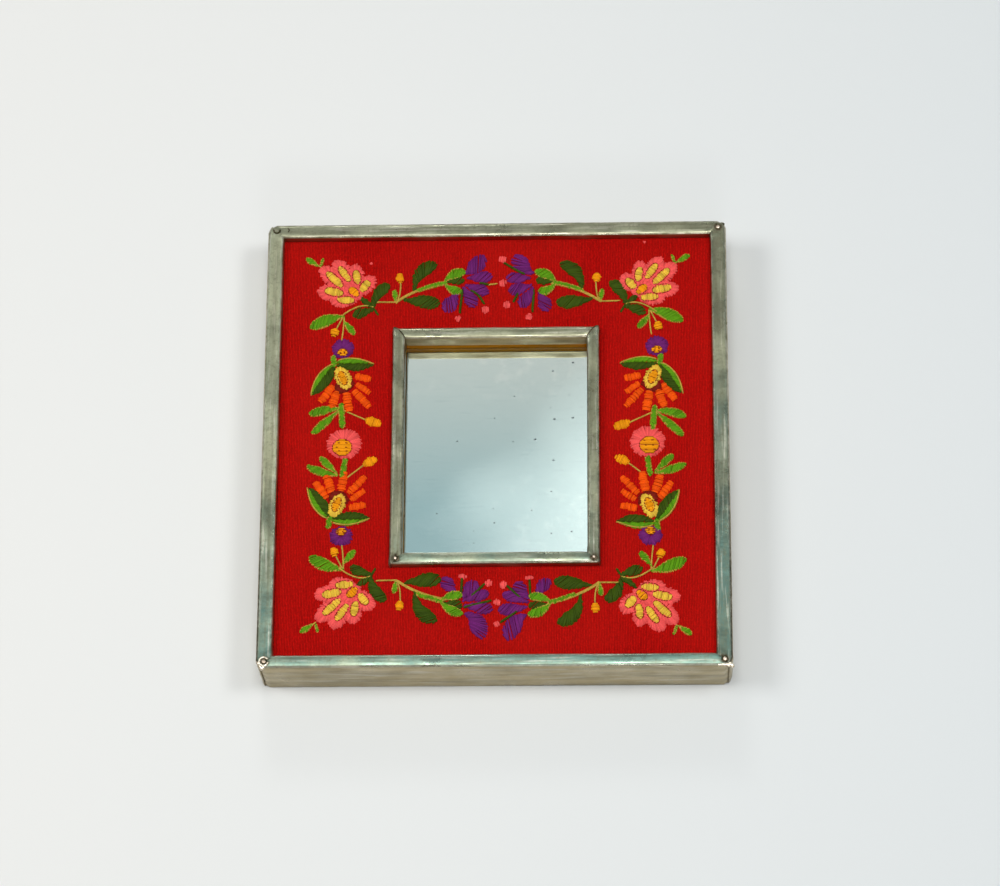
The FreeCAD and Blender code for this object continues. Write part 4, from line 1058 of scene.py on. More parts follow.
class MIRROR_OT_make_nails(Operator):
    """Sets a domed head on every nail, solder on the lower corners, dark arcs by the nails that are partly
    painted shade, and dark wires of painted shadow in the trim's top seams
    """
    bl_idname = "mirror.make_nails"
    bl_label = "Nails and Solder"

    def execute(self, context):
        steel = context.scene.mirror_steel
        tree = bead_tree()
        bright = steel_material("nail_steel", steel.nail, 0.25)
        dull = steel_material("dull_nail_steel", steel.dull_nail, 0.35)
        wire_and_shade_steel = steel_material("blackened_wire_and_painted_shade", steel.wire, 0.5)
        solder = steel_material("solder", steel.solder, 0.22)
        for kind, material in (("rim", bright), ("trim", bright), ("back", dull), ("hanger", dull)):
            self.set_heads(kind, tree, material)
        self.drop_solder(tree, solder)
        self.lay_wires_and_shade_rings(wire_and_shade_steel)
        # Dark wires that paint the shadow in the trim's top seams.
        for side in ("left", "right"):
            settle(tube_along(f"seam_{side}", seam_shadow_places(side), 0.5 * MM), wire_and_shade_steel, "tin")
        return {"FINISHED"}

    @staticmethod
    def set_heads(kind, tree, material):
        """A flattened bead on each nail of a group."""
        places = []
        looks = []
        for middle, low, high in node_islands(f"{kind}_nails"):
            size, dullness = nail_look(f"{kind}_nails", middle)
            looks.append((size, dullness))
            sunk = FRONT_NAIL_SUNK + DULL_NAIL_SUNK * dullness
            height = high.z - sunk if kind in ("rim", "trim") else low.z + BACK_NAIL_SUNK
            places.append(Vector((middle.x, middle.y, height)))
            radius = (high.x - low.x) / 2
        piece = points_piece(f"{kind}_nail_heads", places, *zip(*looks))
        run_tree(piece, tree, {"Radius": radius, "Rise": BEAD_RISE, "Unevenness": 0.12,
                               "Seed": len(kind), "Material": material})
        settle(piece, material, "nail_steel", f"{kind}_nails")

    @staticmethod
    def drop_solder(tree, solder):
        """Drops of solder on the lower corners, and a ring of it round the lower left nail."""
        places = []
        for kind, side, from_side, from_bottom, _ in SOLDER_DROPS:
            out = outer_edge(kind, side) - from_side
            up = from_bottom - outer_edge(kind, "bottom")
            places.append(Vector((-out if side == "left" else out, up, FRONT - 0.9 * MM)))
        bulks = [drop[-1] for drop in SOLDER_DROPS]
        piece = points_piece("solder_drops", places, bulks, [0.0] * len(places))
        run_tree(piece, tree, {"Radius": 1.0 * MM, "Rise": BEAD_RISE, "Unevenness": 0.8, "Seed": 3,
                               "Material": solder})
        settle(piece, solder, "nail_steel")
        ring = arc_places(nail_top("rim_nails", -1, -1), 2.9 * MM, 30, 345, 24)
        settle(tube_along("solder_ring", ring, 0.75 * MM), solder, "nail_steel")

    @staticmethod
    def lay_wires_and_shade_rings(wire_and_shade_steel):
        """The blackened wires by the nails, and dark rims that paint the shade round the nail heads and in
        the gaps beside them.
        """
        for number, (node, corner, shift, radius, start, end, thickness) in enumerate(WIRES_AND_SHADE_RINGS):
            middle = nail_top(node, *corner) + Vector(shift) * MM
            bow = arc_places(middle, radius * MM, start, end, 16)
            settle(tube_along(f"wire_and_shade_ring_{number}", bow, thickness * MM), wire_and_shade_steel, "nail_steel")


# Cloth

class MIRROR_OT_make_cloth(Operator):
    """Stretches the red cloth over the front panel"""
    bl_idname = "mirror.make_cloth"
    bl_label = "Red Cloth"

    def execute(self, context):
        cloth = context.scene.mirror_cloth
        low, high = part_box("embroidered_cloth")
        window_low = Vector((-outer_edge("well_slat", "left"), -outer_edge("well_slat", "bottom")))
        window_high = Vector((outer_edge("well_slat", "right"), outer_edge("well_slat", "top")))
        columns = self.grid_lines(low.x, window_low.x, window_high.x, high.x, cloth.cell)
        rows = self.grid_lines(low.y, window_low.y, window_high.y, high.y, cloth.cell)
        points = [Vector((x, y, CLOTH_TOP - cloth.pucker * self.slack(x, y))) for y in rows for x in columns]
        faces = []
        for row in range(len(rows) - 1):
            for column in range(len(columns) - 1):
                x = (columns[column] + columns[column + 1]) / 2
                y = (rows[row] + rows[row + 1]) / 2
                if window_low.x < x < window_high.x and window_low.y < y < window_high.y:
                    continue
                start = row * len(columns) + column
                faces.append((start, start + 1, start + len(columns) + 1, start + len(columns)))
        piece = new_piece("stretched_cloth", points, faces)
        with editing(piece.data) as work:
            bmesh.ops.delete(work, geom=[v for v in work.verts if not v.link_faces], context="VERTS")
            if sum(face.normal.z for face in work.faces) < 0:
                bmesh.ops.reverse_faces(work, faces=work.faces)
        thick = piece.modifiers.new("Thickness", "SOLIDIFY")
        thick.thickness = cloth.thickness
        thick.offset = -1.0
        settle(piece, cloth_material(), "red_cloth", "embroidered_cloth")
        return {"FINISHED"}

    @staticmethod
    def grid_lines(low, window_low, window_high, high, cell):
        """Evenly spaced lines that fall on the edges of the cloth and of its window."""
        lines = [low]
        for start, end in ((low, window_low), (window_low, window_high), (window_high, high)):
            count = max(1, round((end - start) / cell))
            lines += [start + (end - start) * (step + 1) / count for step in range(count)]
        return lines

    @staticmethod
    def slack(x, y):
        """How far the cloth lies below its highest, from none to all of its pucker."""
        broad = noise.noise(Vector((x, y, 0.0)) / 0.045)
        fine = noise.noise(Vector((x, y, 0.3)) / 0.011)
        return min(1.0, max(0.0, 0.45 + 0.35 * broad + 0.35 * fine))


# Embroidery

# The embroidery is drawn in shares of a pattern width and height, which follow the cloth's bands.
PATTERN_WIDTH_SHARE = 1.33
PATTERN_HEIGHT_SHARE = 1.564

# Where each motif is anchored in each quarter, out from the middle of the opening.
# A share up to 1 lies beside the opening, and one from 1 to 2 lies between trim and rim.
ANCHOR_SHARES = {
    ("left", "top"): {
        "corner_flower": (1.37, 1.42), "corner_sprig": (1.66, 1.71), "knot": (1.18, 1.26),
        "branch": (1.45, 1.17), "pansy": (1.45, 0.85), "leaf_pair": (1.52, 0.72),
        "orange_flower": (1.44, 0.59), "twigs": (1.46, 0.34), "round_flower": (1.42, 0.03),
        "long_stem": (1.13, 1.32), "calyx": (0.49, 1.53), "top_petals": (0.49, 1.53),
        "stray_stitch": (1.21, 1.75),
    },
    ("right", "top"): {
        "corner_flower": (1.39, 1.42), "corner_sprig": (1.67, 1.71), "knot": (1.23, 1.27),
        "branch": (1.45, 1.21), "pansy": (1.51, 0.85), "leaf_pair": (1.53, 0.71),
        "orange_flower": (1.47, 0.58), "twigs": (1.49, 0.30), "round_flower": (1.42, 0.03),
        "long_stem": (1.16, 1.31), "calyx": (0.56, 1.52), "near_petals": (0.56, 1.52),
        "top_dots": (0.05, 1.75), "stray_stitch": (1.41, 1.96),
    },
    ("left", "bottom"): {
        "corner_flower": (1.33, 1.28), "corner_sprig": (1.63, 1.61), "knot": (1.16, 1.10),
        "branch": (1.41, 1.02), "pansy": (1.43, 0.74), "leaf_pair": (1.53, 0.60),
        "orange_flower": (1.47, 0.48), "low_twigs": (1.46, 0.23),
        "long_stem": (1.09, 1.15), "low_calyx": (0.49, 1.38), "long_stamen": (0.49, 1.38),
    },
    ("right", "bottom"): {
        "corner_flower": (1.37, 1.33), "corner_sprig": (1.65, 1.66), "knot": (1.18, 1.12),
        "branch": (1.45, 1.06), "pansy": (1.44, 0.75), "leaf_pair": (1.49, 0.64),
        "orange_flower": (1.43, 0.50), "low_twigs": (1.47, 0.23),
        "long_stem": (1.14, 1.19), "low_calyx": (0.51, 1.40), "short_stamen": (0.51, 1.40),
        "low_dots": (0.02, 1.62),
    },
}

# Each stitched shape of a motif: its form, its thread, its layer, its width, where it starts, the
# point that its middle bends towards, and where it ends. A straight shape has no bend. Places run
# out from the motif's anchor, as shares of the pattern's width and height.
MOTIFS = {
    "corner_flower": (
        ("petal", "pink", 0, 0.125, (0.04, 0.02), (0.222, 0.195)),
        ("petal", "pink", 0, 0.12, (0.01, 0.05), (0.125, 0.245)),
        ("petal", "pink", 0, 0.11, (-0.02, 0.04), (-0.015, 0.215)),
        ("petal", "pink", 0, 0.118, (-0.02, 0.0), (-0.145, 0.115)),
        ("petal", "pink", 0, 0.125, (0.02, 0.0), (0.24, 0.015)),
        ("petal", "pink", 0, 0.115, (-0.03, -0.03), (0.145, -0.06)),
        ("inset", "yellow", 1.2, 0.046, (0.072, 0.048), (0.178, 0.152)),
        ("inset", "yellow", 1.2, 0.043, (0.022, 0.086), (0.095, 0.192)),
        ("inset", "yellow", 1.2, 0.046, (-0.033, 0.066), (-0.018, 0.165)),
        ("inset", "yellow", 1.2, 0.050, (-0.052, 0.014), (-0.108, 0.084)),
        ("inset", "yellow", 1.2, 0.052, (0.066, -0.004), (0.188, 0.022)),
        ("inset", "yellow", 1.2, 0.046, (-0.01, -0.056), (0.102, -0.046)),
        ("petal", "pink", 1, 0.088, (-0.06, -0.035), (0.055, 0.062)),
        ("inset", "gold", 2.2, 0.048, (-0.038, -0.024), (0.022, 0.032)),
    ),
    "corner_sprig": (
        ("stem", "stem_green", 0, 0.016, (0, 0), (0.05, 0.033)),
        ("edged", "bright_green", 0, 0.036, (0.02, 0.012), (0.103, 0.068)),
        ("edged_bar", "bright_green", 0, 0.014, (0.005, 0.012), (-0.012, 0.068)),
    ),
    "knot": (
        ("paddle", "dark_green", 0, 0.078, (0.012, -0.03), (-0.01, 0.14), (-0.105, 0.16)),
        ("paddle", "dark_green", 0, 0.068, (0.0, -0.01), (0.07, -0.03), (0.138, -0.062)),
        ("lens", "dark_green", 0.5, 0.034, (0.0, -0.005), (0.10, 0.08)),
        ("stem", "dark_green", 0, 0.014, (0.0, -0.005), (-0.03, -0.055)),
        ("stem", "stem_green", 1, 0.017, (0.0, 0.0), (0.09, 0.045), (0.215, -0.06)),
    ),
    "branch": (
        ("edged", "bright_green", 0, 0.08, (-0.005, 0.0), (0.10, -0.01), (0.222, -0.085)),
        ("stem", "stem_green", 0, 0.014, (0, 0), (0.05, -0.10)),
        ("oval", "gold", 1, 0.052, (0.050, -0.09), (0.064, -0.148)),
        ("stem", "stem_green", 0, 0.014, (-0.005, 0), (-0.005, -0.08), (0.010, -0.18)),
        ("edged", "bright_green", 0, 0.040, (0, -0.035), (-0.078, -0.132)),
    ),
    "pansy": (
        ("disc", "purple", 0, 0.138, (-0.074, 0), (0.074, 0)),
        ("marked", "gold", 1.4, 0.066, (0.0, -0.052), (0.0, -0.004)),
    ),
    "leaf_pair": (
        ("edged_bar", "bright_green", 0.5, 0.030, (0, -0.02), (0.012, 0.062)),
        ("lens", "bright_green", 0.4, 0.036, (-0.005, 0.004), (-0.12, 0.042), (-0.245, 0.0)),
        ("lens", "dark_green", 0, 0.054, (-0.005, -0.004), (-0.14, -0.042), (-0.262, -0.006)),
        ("stem", "stem_green", 1, 0.008, (-0.02, 0.022), (-0.12, 0.065), (-0.262, -0.004)),
        ("lens", "bright_green", 0.4, 0.036, (0.008, -0.008), (0.112, -0.075), (0.147, -0.222)),
        ("lens", "dark_green", 0, 0.072, (0, -0.012), (0.056, -0.130), (0.145, -0.220)),
        ("stem", "stem_green", 1, 0.008, (0.02, -0.005), (0.135, -0.06), (0.155, -0.225)),
    ),
    "orange_flower": (
        # The maroon halo is partly thread and partly painted shade round the yellow centre.
        ("halo", "maroon", 0, 0.136, (0.015, 0.0), (-0.032, -0.094)),
        ("disc", "yellow", 1, 0.100, (0.036, 0.082), (-0.034, -0.074)),
        ("speckled", "gold", 2.2, 0.052, (0.02, 0.048), (-0.016, -0.046)),
        ("bar", "orange", 0, 0.045, (-0.078, 0.020), (-0.188, -0.002)),
        ("bar", "orange", 0, 0.040, (-0.088, -0.038), (-0.180, -0.102)),
        ("bar", "orange", 0, 0.044, (-0.072, -0.082), (-0.182, -0.204)),
        ("bar", "orange", 0, 0.053, (-0.022, -0.096), (-0.045, -0.236)),
        ("bar", "orange", 0, 0.052, (0.038, -0.088), (0.078, -0.212)),
        ("bar", "orange", 0, 0.048, (0.068, -0.046), (0.152, -0.164)),
    ),
    "twigs": (
        ("edged", "bright_green", 0, 0.056, (0.0, -0.002), (0.10, 0.0), (0.205, -0.045)),
        ("edged", "bright_green", 0, 0.050, (0.01, -0.015), (0.185, -0.180)),
        ("edged_bar", "bright_green", 0.5, 0.032, (-0.002, 0.035), (-0.018, -0.142)),
        ("stem", "stem_green", 0, 0.014, (-0.01, -0.01), (-0.17, -0.085)),
        ("bud", "gold", 0, 0.062, (-0.168, -0.082), (-0.275, -0.118)),
    ),
    "low_twigs": (
        ("edged", "bright_green", 0, 0.052, (0.005, 0.0), (0.10, -0.01), (0.215, -0.065)),
        ("edged", "bright_green", 0, 0.044, (0.01, -0.01), (0.130, -0.130)),
        ("edged_bar", "bright_green", 0.5, 0.030, (-0.02, 0.02), (-0.04, -0.118)),
        ("stem", "stem_green", 0, 0.016, (-0.05, 0.02), (-0.165, -0.072)),
        ("bud", "gold", 0, 0.058, (-0.158, -0.072), (-0.250, -0.118)),
    ),
    "round_flower": (
        ("disc", "pink", 0, 0.212, (-0.115, 0.004), (0.115, 0.004)),
        ("marked", "gold", 1.4, 0.122, (0.012, 0.034), (0.012, -0.080)),
    ),
    "long_stem": (
        ("stem", "stem_green", 0.3, 0.017, (0.02, 0), (-0.12, -0.002)),
        ("stem", "stem_green", 0.3, 0.022, (-0.11, -0.004), (-0.2575, 0.105), (-0.445, 0.135)),
        ("edged", "bright_green", 0, 0.030, (-0.112, 0.0), (-0.100, 0.088)),
        ("stem", "stem_green", 0, 0.012, (-0.115, 0.0), (-0.145, 0.04), (-0.142, 0.145)),
        ("bud", "gold", 0, 0.052, (-0.140, 0.140), (-0.134, 0.206)),
        ("paddle", "dark_green", 0, 0.090, (-0.236, 0.075), (-0.236, 0.245), (-0.385, 0.275)),
        ("paddle", "dark_green", 0, 0.094, (-0.165, 0.018), (-0.29, -0.004), (-0.408, -0.008)),
    ),
    "calyx": (
        ("edged", "bright_green", 1, 0.066, (0.01, 0), (-0.030, 0.072), (-0.128, 0.074)),
        ("edged", "bright_green", 1, 0.056, (0.01, -0.008), (-0.035, -0.075), (-0.104, -0.062)),
        ("paddle", "dark_green", 0, 0.056, (-0.01, 0.005), (-0.120, 0.018)),
        ("edged_bar", "bright_green", 0.5, 0.024, (0.20, -0.062), (0.08, -0.012), (-0.005, -0.002)),
    ),
    "top_petals": (
        ("paddle", "purple", 0, 0.108, (-0.125, 0.070), (-0.195, 0.085), (-0.245, 0.200)),
        ("paddle", "purple", 0, 0.080, (-0.140, 0.030), (-0.310, 0.042)),
        ("paddle", "purple", 0, 0.076, (-0.130, -0.020), (-0.288, -0.078)),
        ("paddle", "purple", 0.3, 0.086, (-0.115, -0.035), (-0.195, -0.180)),
        ("paddle", "purple", 0, 0.100, (-0.075, -0.072), (0.005, -0.214)),
        ("stem", "dark_green", 0.5, 0.016, (-0.110, -0.05), (-0.092, -0.225)),
        ("stem", "dark_green", 0.8, 0.008, (-0.165, -0.06), (-0.22, -0.08), (-0.255, -0.16)),
        ("stem", "dark_green", 0.8, 0.008, (-0.225, -0.004), (-0.290, -0.021)),
        ("stem", "stem_green", 0.8, 0.008, (-0.285, -0.020), (-0.345, -0.014)),
        ("dot", "pink", 0, 0.042, (-0.065, -0.255), (-0.098, -0.270)),
        ("dot", "pink", 0, 0.050, (-0.240, -0.205), (-0.290, -0.200)),
    ),
    "near_petals": (
        ("paddle", "purple", 0, 0.108, (-0.135, 0.070), (-0.215, 0.085), (-0.262, 0.205)),
        ("paddle", "purple", 0, 0.078, (-0.160, 0.034), (-0.322, 0.034)),
        ("paddle", "purple", 0, 0.080, (-0.150, -0.018), (-0.305, -0.064)),
        ("paddle", "purple", 0.3, 0.086, (-0.140, -0.035), (-0.222, -0.178)),
        ("paddle", "purple", 0, 0.090, (-0.100, -0.072), (-0.040, -0.208)),
        ("stem", "dark_green", 0.5, 0.016, (-0.135, -0.05), (-0.146, -0.215)),
        ("stem", "dark_green", 0.8, 0.010, (-0.240, -0.075), (-0.275, -0.14)),
        ("stem", "dark_green", 0.8, 0.010, (-0.200, 0.062), (-0.26, 0.09), (-0.338, 0.148)),
        ("dot", "pink", 0, 0.040, (-0.164, -0.228), (-0.172, -0.272)),
        ("dot", "pink", 0, 0.048, (-0.294, -0.164), (-0.342, -0.158)),
    ),
    "low_calyx": (
        ("edged", "bright_green", 1, 0.058, (0.01, 0), (-0.045, -0.045), (-0.128, -0.036)),
        ("edged", "bright_green", 1, 0.058, (0.01, 0.01), (-0.030, 0.068), (-0.132, 0.092)),
        ("paddle", "dark_green", 0, 0.060, (-0.01, 0.015), (-0.128, 0.034)),
        ("edged_bar", "bright_green", 0.5, 0.024, (0.18, -0.055), (0.08, -0.012), (-0.005, 0.004)),
        ("paddle", "purple", 0, 0.086, (-0.085, -0.050), (0.002, -0.158)),
        ("paddle", "purple", 0.3, 0.088, (-0.130, -0.020), (-0.220, -0.130)),
        ("paddle", "purple", 0, 0.070, (-0.130, 0.0), (-0.300, -0.055)),
        ("paddle", "purple", 0, 0.080, (-0.140, 0.035), (-0.328, 0.058)),
        ("paddle", "purple", 0, 0.110, (-0.145, 0.090), (-0.235, 0.105), (-0.262, 0.262)),
        ("stem", "dark_green", 0.5, 0.018, (-0.120, -0.04), (-0.125, -0.155)),
        ("stem", "dark_green", 0.8, 0.008, (-0.185, -0.03), (-0.22, -0.06), (-0.275, -0.115)),
        ("dot", "pink", 0, 0.030, (-0.100, -0.168), (-0.155, -0.166)),
        ("dot", "pink", 0, 0.046, (-0.275, -0.122), (-0.322, -0.118)),
    ),
    "long_stamen": (
        ("stem", "dark_green", 0.8, 0.008, (-0.140, 0.045), (-0.318, 0.002)),
    ),
    "short_stamen": (
        ("stem", "dark_green", 0.8, 0.010, (-0.205, 0.064), (-0.313, 0.138)),
    ),
    "stray_stitch": (
        ("dot", "pink", 0, 0.013, (-0.006, 0.004), (0.006, -0.004)),
    ),
    "top_dots": (
        ("dot", "pink", 0, 0.048, (-0.02, 0.025), (0.030, 0.018)),
        ("dot", "pink", 0, 0.046, (-0.018, -0.155), (0.032, -0.148)),
    ),
    "low_dots": (
        ("dot", "pink", 0, 0.042, (-0.022, -0.138), (0.026, -0.132)),
        ("dot", "pink", 0, 0.038, (-0.016, 0.025), (0.018, 0.005)),
    ),
}

THREADS = ("gold", "yellow", "orange", "pink", "purple", "bright_green", "dark_green", "stem_green",
           "maroon", "brown")

# Threads that are finer than the rest, by how much.
FINE_THREADS = {"brown": 0.5, "stem_green": 0.62}

# A paddle-shaped leaf is widest at this share of its length, and its foot is this narrow.
PADDLE_WIDEST = 0.64
PADDLE_FOOT = 0.14

# How square the ends of the other shapes are: 2 is an ellipse.
BLUNTNESS = {"bar": 4.0, "edged_bar": 4.0, "inset": 2.7}

# How each form is filled: with stitches across, that slant by this share of its width.
SLANTS = {"paddle": 0.9, "lens": 0.9, "edged": 0.7, "edged_bar": 0.7}

# Or with stitches that run in from its outline, to this share of the way out from its middle.
CORES = {"petal": 0.35, "halo": 0.35, "disc": 0.12}


def cloth_band(side):
    return inner_edge("tin_rim", side) - outer_edge("tin_trim", side)


def anchor_place(quarter, out_share, up_share):
    """An anchor's distances out and up from the middle of the box, both positive."""
    distances = []
    for side, share in zip(quarter, (out_share, up_share)):
        trim = outer_edge("tin_trim", side)
        middle = 0.0
        if side in ("top", "bottom"):
            # These shares run from the middle of the opening, which hangs a little low.
            middle = (outer_edge("tin_trim", "top") - outer_edge("tin_trim", "bottom")) / 2
            middle = middle if side == "top" else -middle
        if share <= 1:
            distances.append(middle + share * (trim - middle))
        else:
            distances.append(trim + (share - 1) * cloth_band(side))
    return distances


class Shape:
    """A stitched shape on the cloth, from a start to an end, perhaps bent."""

    def __init__(self, form, width, start, *bend_and_end):
        self.form = form
        self.width = width
        self.start = start
        self.end = bend_and_end[-1]
        self.bend = bend_and_end[0] if len(bend_and_end) == 2 else (start + self.end) / 2
        places = [self.middle(step / 12) for step in range(13)]
        self.length = sum((b - a).length for a, b in zip(places, places[1:]))

    def swell(self, share):
        """How wide the shape is at a share of its length, from none to 1."""
        if self.form == "lens":
            return 4 * share * (1 - share)
        if self.form in ("paddle", "edged"):
            if share > PADDLE_WIDEST:
                return math.sqrt(max(0.0, 1 - ((share - PADDLE_WIDEST) / (1 - PADDLE_WIDEST)) ** 2))
            return PADDLE_FOOT + (1 - PADDLE_FOOT) * smooth_step(-0.05, PADDLE_WIDEST, share)
        blunt = BLUNTNESS.get(self.form, 2.0)
        return max(0.0, 1 - abs(2 * share - 1) ** blunt) ** (1 / blunt)

    def middle(self, share):
        rest = 1 - share
        return self.start * (rest * rest) + self.bend * (2 * rest * share) + self.end * (share * share)

    def across(self, share):
        heading = (self.bend - self.start) * (1 - share) + (self.end - self.bend) * share
        heading = heading.normalized()
        return Vector((-heading.y, heading.x, 0.0))

    def edge(self, share, side, more):
        """A place on the outline, or a little outside it."""
        half = self.swell(share) * self.width / 2
        return self.middle(share) + self.across(share) * (side * (half + more))

    def around(self):
        """The length of an oval's outline."""
        return math.pi * math.sqrt((self.length ** 2 + self.width ** 2) / 2)

    def round_place(self, angle, share, more):
        """A place at a share of the way out to an oval's outline, and a little further."""
        heading = (self.end - self.start).normalized()
        aside = Vector((-heading.y, heading.x, 0.0))
        outward = heading * (math.cos(angle) * self.length / 2) + aside * (math.sin(angle) * self.width / 2)
        return (self.start + self.end) / 2 + outward * share + outward.normalized() * more


class Needle:
    """Lays stitches of several threads, each a run of five points, with a hand's unevenness."""

    RUN = 5

    # The least length of a stitch, and how high its ends, its shoulders and its crest lie.
    SHORTEST = 0.4 * MM
    SUNK = -0.4 * MM
    SHOULDER = 0.08 * MM
    CREST = 0.14 * MM

    # How far apart the stitches of outlines, fringes and stems are.
    OUTLINE_STEP = 1.9 * MM
    FRINGE_STEP = 1.15 * MM
    STEM_STEP = 1.5 * MM

    # How long a stem's stitch is, how far it leans, how far apart its rows are, and the width for one.
    STEM_STITCH = 3.0 * MM
    STEM_LEAN = 0.25 * MM
    ROW_GAP = 0.8 * MM
    ROW_WIDTH = 1.4 * MM

    def __init__(self, stitch):
        self.stitch = stitch
        self.chance = random.Random(stitch.seed)
        self.laid = {thread: [] for thread in THREADS}

    def uneven(self, amount):
        return self.chance.uniform(-amount, amount)

    def lay(self, thread, layer, start, end, flatness=1.0):
        """One stitch that comes up at start, lies in an arch and goes down at end."""
        span = (end - start).length
        if span < self.SHORTEST:
            return
        base = CLOTH_TOP + layer * self.stitch.layer_rise + self.uneven(0.05 * MM)
        dome = min(self.stitch.dome, 0.10 * span + 0.08 * MM) * flatness
        edge = min(0.24, 0.5 * MM / span)
        shoulder = self.SHOULDER + 0.6 * dome
        heights = ((0.0, self.SUNK), (edge, shoulder), (0.5, self.CREST + dome),
                   (1 - edge, shoulder), (1.0, self.SUNK))
        for share, height in heights:
            place = start.lerp(end, share)
            self.laid[thread].append(Vector((place.x, place.y, base + height)))

    def fill(self, thread, layer, shape, slant):
        """Satin stitches side by side across a shape."""
        count = max(2, round(shape.length / self.stitch.pitch))
        for number in range(count):
            share = (number + 0.5 + self.uneven(0.2)) / count
            reach = slant * shape.width * shape.swell(share) / (2 * shape.length)
            low = max(0.0, share - reach)
            high = min(1.0, share + reach)
            start = shape.edge(low, -1, self.uneven(self.stitch.raggedness))
            end = shape.edge(high, 1, self.uneven(self.stitch.raggedness))
            self.lay(thread, layer, start, end)

    def ring(self, thread, layer, shape, core_share):
        """Stitches that run in from an oval's outline, all the way round it."""
        count = max(6, round(shape.around() / (self.stitch.pitch * 1.1)))
        for number in range(count):
            angle = 2 * math.pi * (number + self.uneven(0.25)) / count
            outer = shape.round_place(angle, 1.0, self.uneven(self.stitch.raggedness * 1.4))
            inner = shape.round_place(angle, core_share + self.uneven(0.06), 0.0)
            self.lay(thread, layer, outer, inner)

    def outline(self, thread, layer, shape, more):
        """Small stitches end to end round a filled shape."""
        count = max(3, round(shape.length / self.OUTLINE_STEP))
        for side in (-1, 1):
            for number in range(count):
                ends = [shape.edge((number + step) / count, side, more) for step in (0.02, 0.98)]
                self.lay(thread, layer, *ends, flatness=0.3)
        for share in (0.0, 1.0):
            ends = [shape.edge(share, side, more + 0.2 * shape.width) for side in (-1, 1)]
            self.lay(thread, layer, *ends, flatness=0.3)

    def fringe(self, thread, layer, shape):
        """Short slanting stitches over both edges of a leaf."""
        count = max(3, round(shape.length / self.FRINGE_STEP))
        for side in (-1, 1):
            for number in range(count):
                share = (number + 0.5 + self.uneven(0.3)) / count
                slant = min(1.0, share + 0.9 * MM / shape.length)
                inside = self.chance.uniform(0.55, 1.1) * MM
                start = shape.edge(share, side, -min(inside, shape.swell(share) * shape.width / 2))
                self.lay(thread, layer, start, shape.edge(slant, side, 0.3 * MM + self.uneven(0.2 * MM)),
                         flatness=0.4)

    def marks(self, thread, layer, shape, rows, per_row):
        """Short stitches scattered in rows across a filled shape."""
        for row in range(rows):
            share = (row + 1) / (rows + 1) + self.uneven(0.05)
            for number in range(per_row):
                aside = (number - (per_row - 1) / 2) / per_row + self.uneven(0.10)
                place = shape.middle(share) + shape.across(share) * (aside * shape.width * 0.9)
                reach = shape.across(share) * self.chance.uniform(0.5, 1.0) * MM
                tilt = Vector((self.uneven(0.4), self.uneven(0.4), 0.0)) * MM
                self.lay(thread, layer, place - reach, place + reach + tilt, flatness=0.2)

    def stem(self, thread, layer, shape):
        """Slanting stitches that overlap along a line, like a thin cord."""
        rows = max(1, round(shape.width / self.ROW_WIDTH))
        count = max(2, round(shape.length / self.STEM_STEP))
        for row in range(rows):
            aside = (row - (rows - 1) / 2) * self.ROW_GAP
            for number in range(count):
                low = max(0.0, (number - 0.4) * self.STEM_STEP / shape.length)
                high = min(1.0, low + self.STEM_STITCH / shape.length)
                start = shape.middle(low) + shape.across(low) * (aside - self.STEM_LEAN)
                end = shape.middle(high) + shape.across(high) * (aside + self.STEM_LEAN)
                self.lay(thread, layer, start, end, flatness=0.6)

    def sew(self, thread, layer, shape):
        """Fills one shape in the way that its form asks for."""
        form = shape.form
        if form == "stem":
            self.stem(thread, layer, shape)
        elif form in CORES:
            self.ring(thread, layer, shape, CORES[form])
        else:
            self.fill(thread, layer, shape, SLANTS.get(form, 0.0))
        if form in ("edged", "edged_bar"):
            self.fringe("stem_green", layer + 0.35, shape)
        # The brown outlines and marks are partly brown thread and partly painted shade in the gaps round the
        # insets and between the centres' stitches.
        if form in ("inset", "marked", "speckled"):
            self.outline("brown", layer + 0.35, shape, 0.5 * MM)
        if form == "marked":
            self.marks("brown", layer + 1.6, shape, 3, 2)
        if form == "speckled":
            self.marks("brown", layer + 0.9, shape, 5, 2)


class Quarter:
    """One quarter of the cloth, whose motifs are placed out from the middle in shares."""

    def __init__(self, sides):
        self.sides = sides
        self.across = -1 if sides[0] == "left" else 1
        self.along = -1 if sides[1] == "bottom" else 1
        self.width = PATTERN_WIDTH_SHARE * cloth_band(sides[0])
        self.height = PATTERN_HEIGHT_SHARE * (cloth_band("top") + cloth_band("bottom")) / 2

    def place(self, anchor, out_share, up_share):
        """A place at shares of the pattern from an anchor."""
        out = anchor[0] + out_share * self.width
        up = anchor[1] + up_share * self.height
        return Vector((self.across * out, self.along * up, 0.0))

    def sew(self, needle):
        for motif, anchor_shares in ANCHOR_SHARES[self.sides].items():
            anchor = anchor_place(self.sides, *anchor_shares)
            for form, thread, layer, wide, *places in MOTIFS[motif]:
                corners = [self.place(anchor, *shares) for shares in places]
                needle.sew(thread, layer, Shape(form, wide * min(self.width, self.height), *corners))


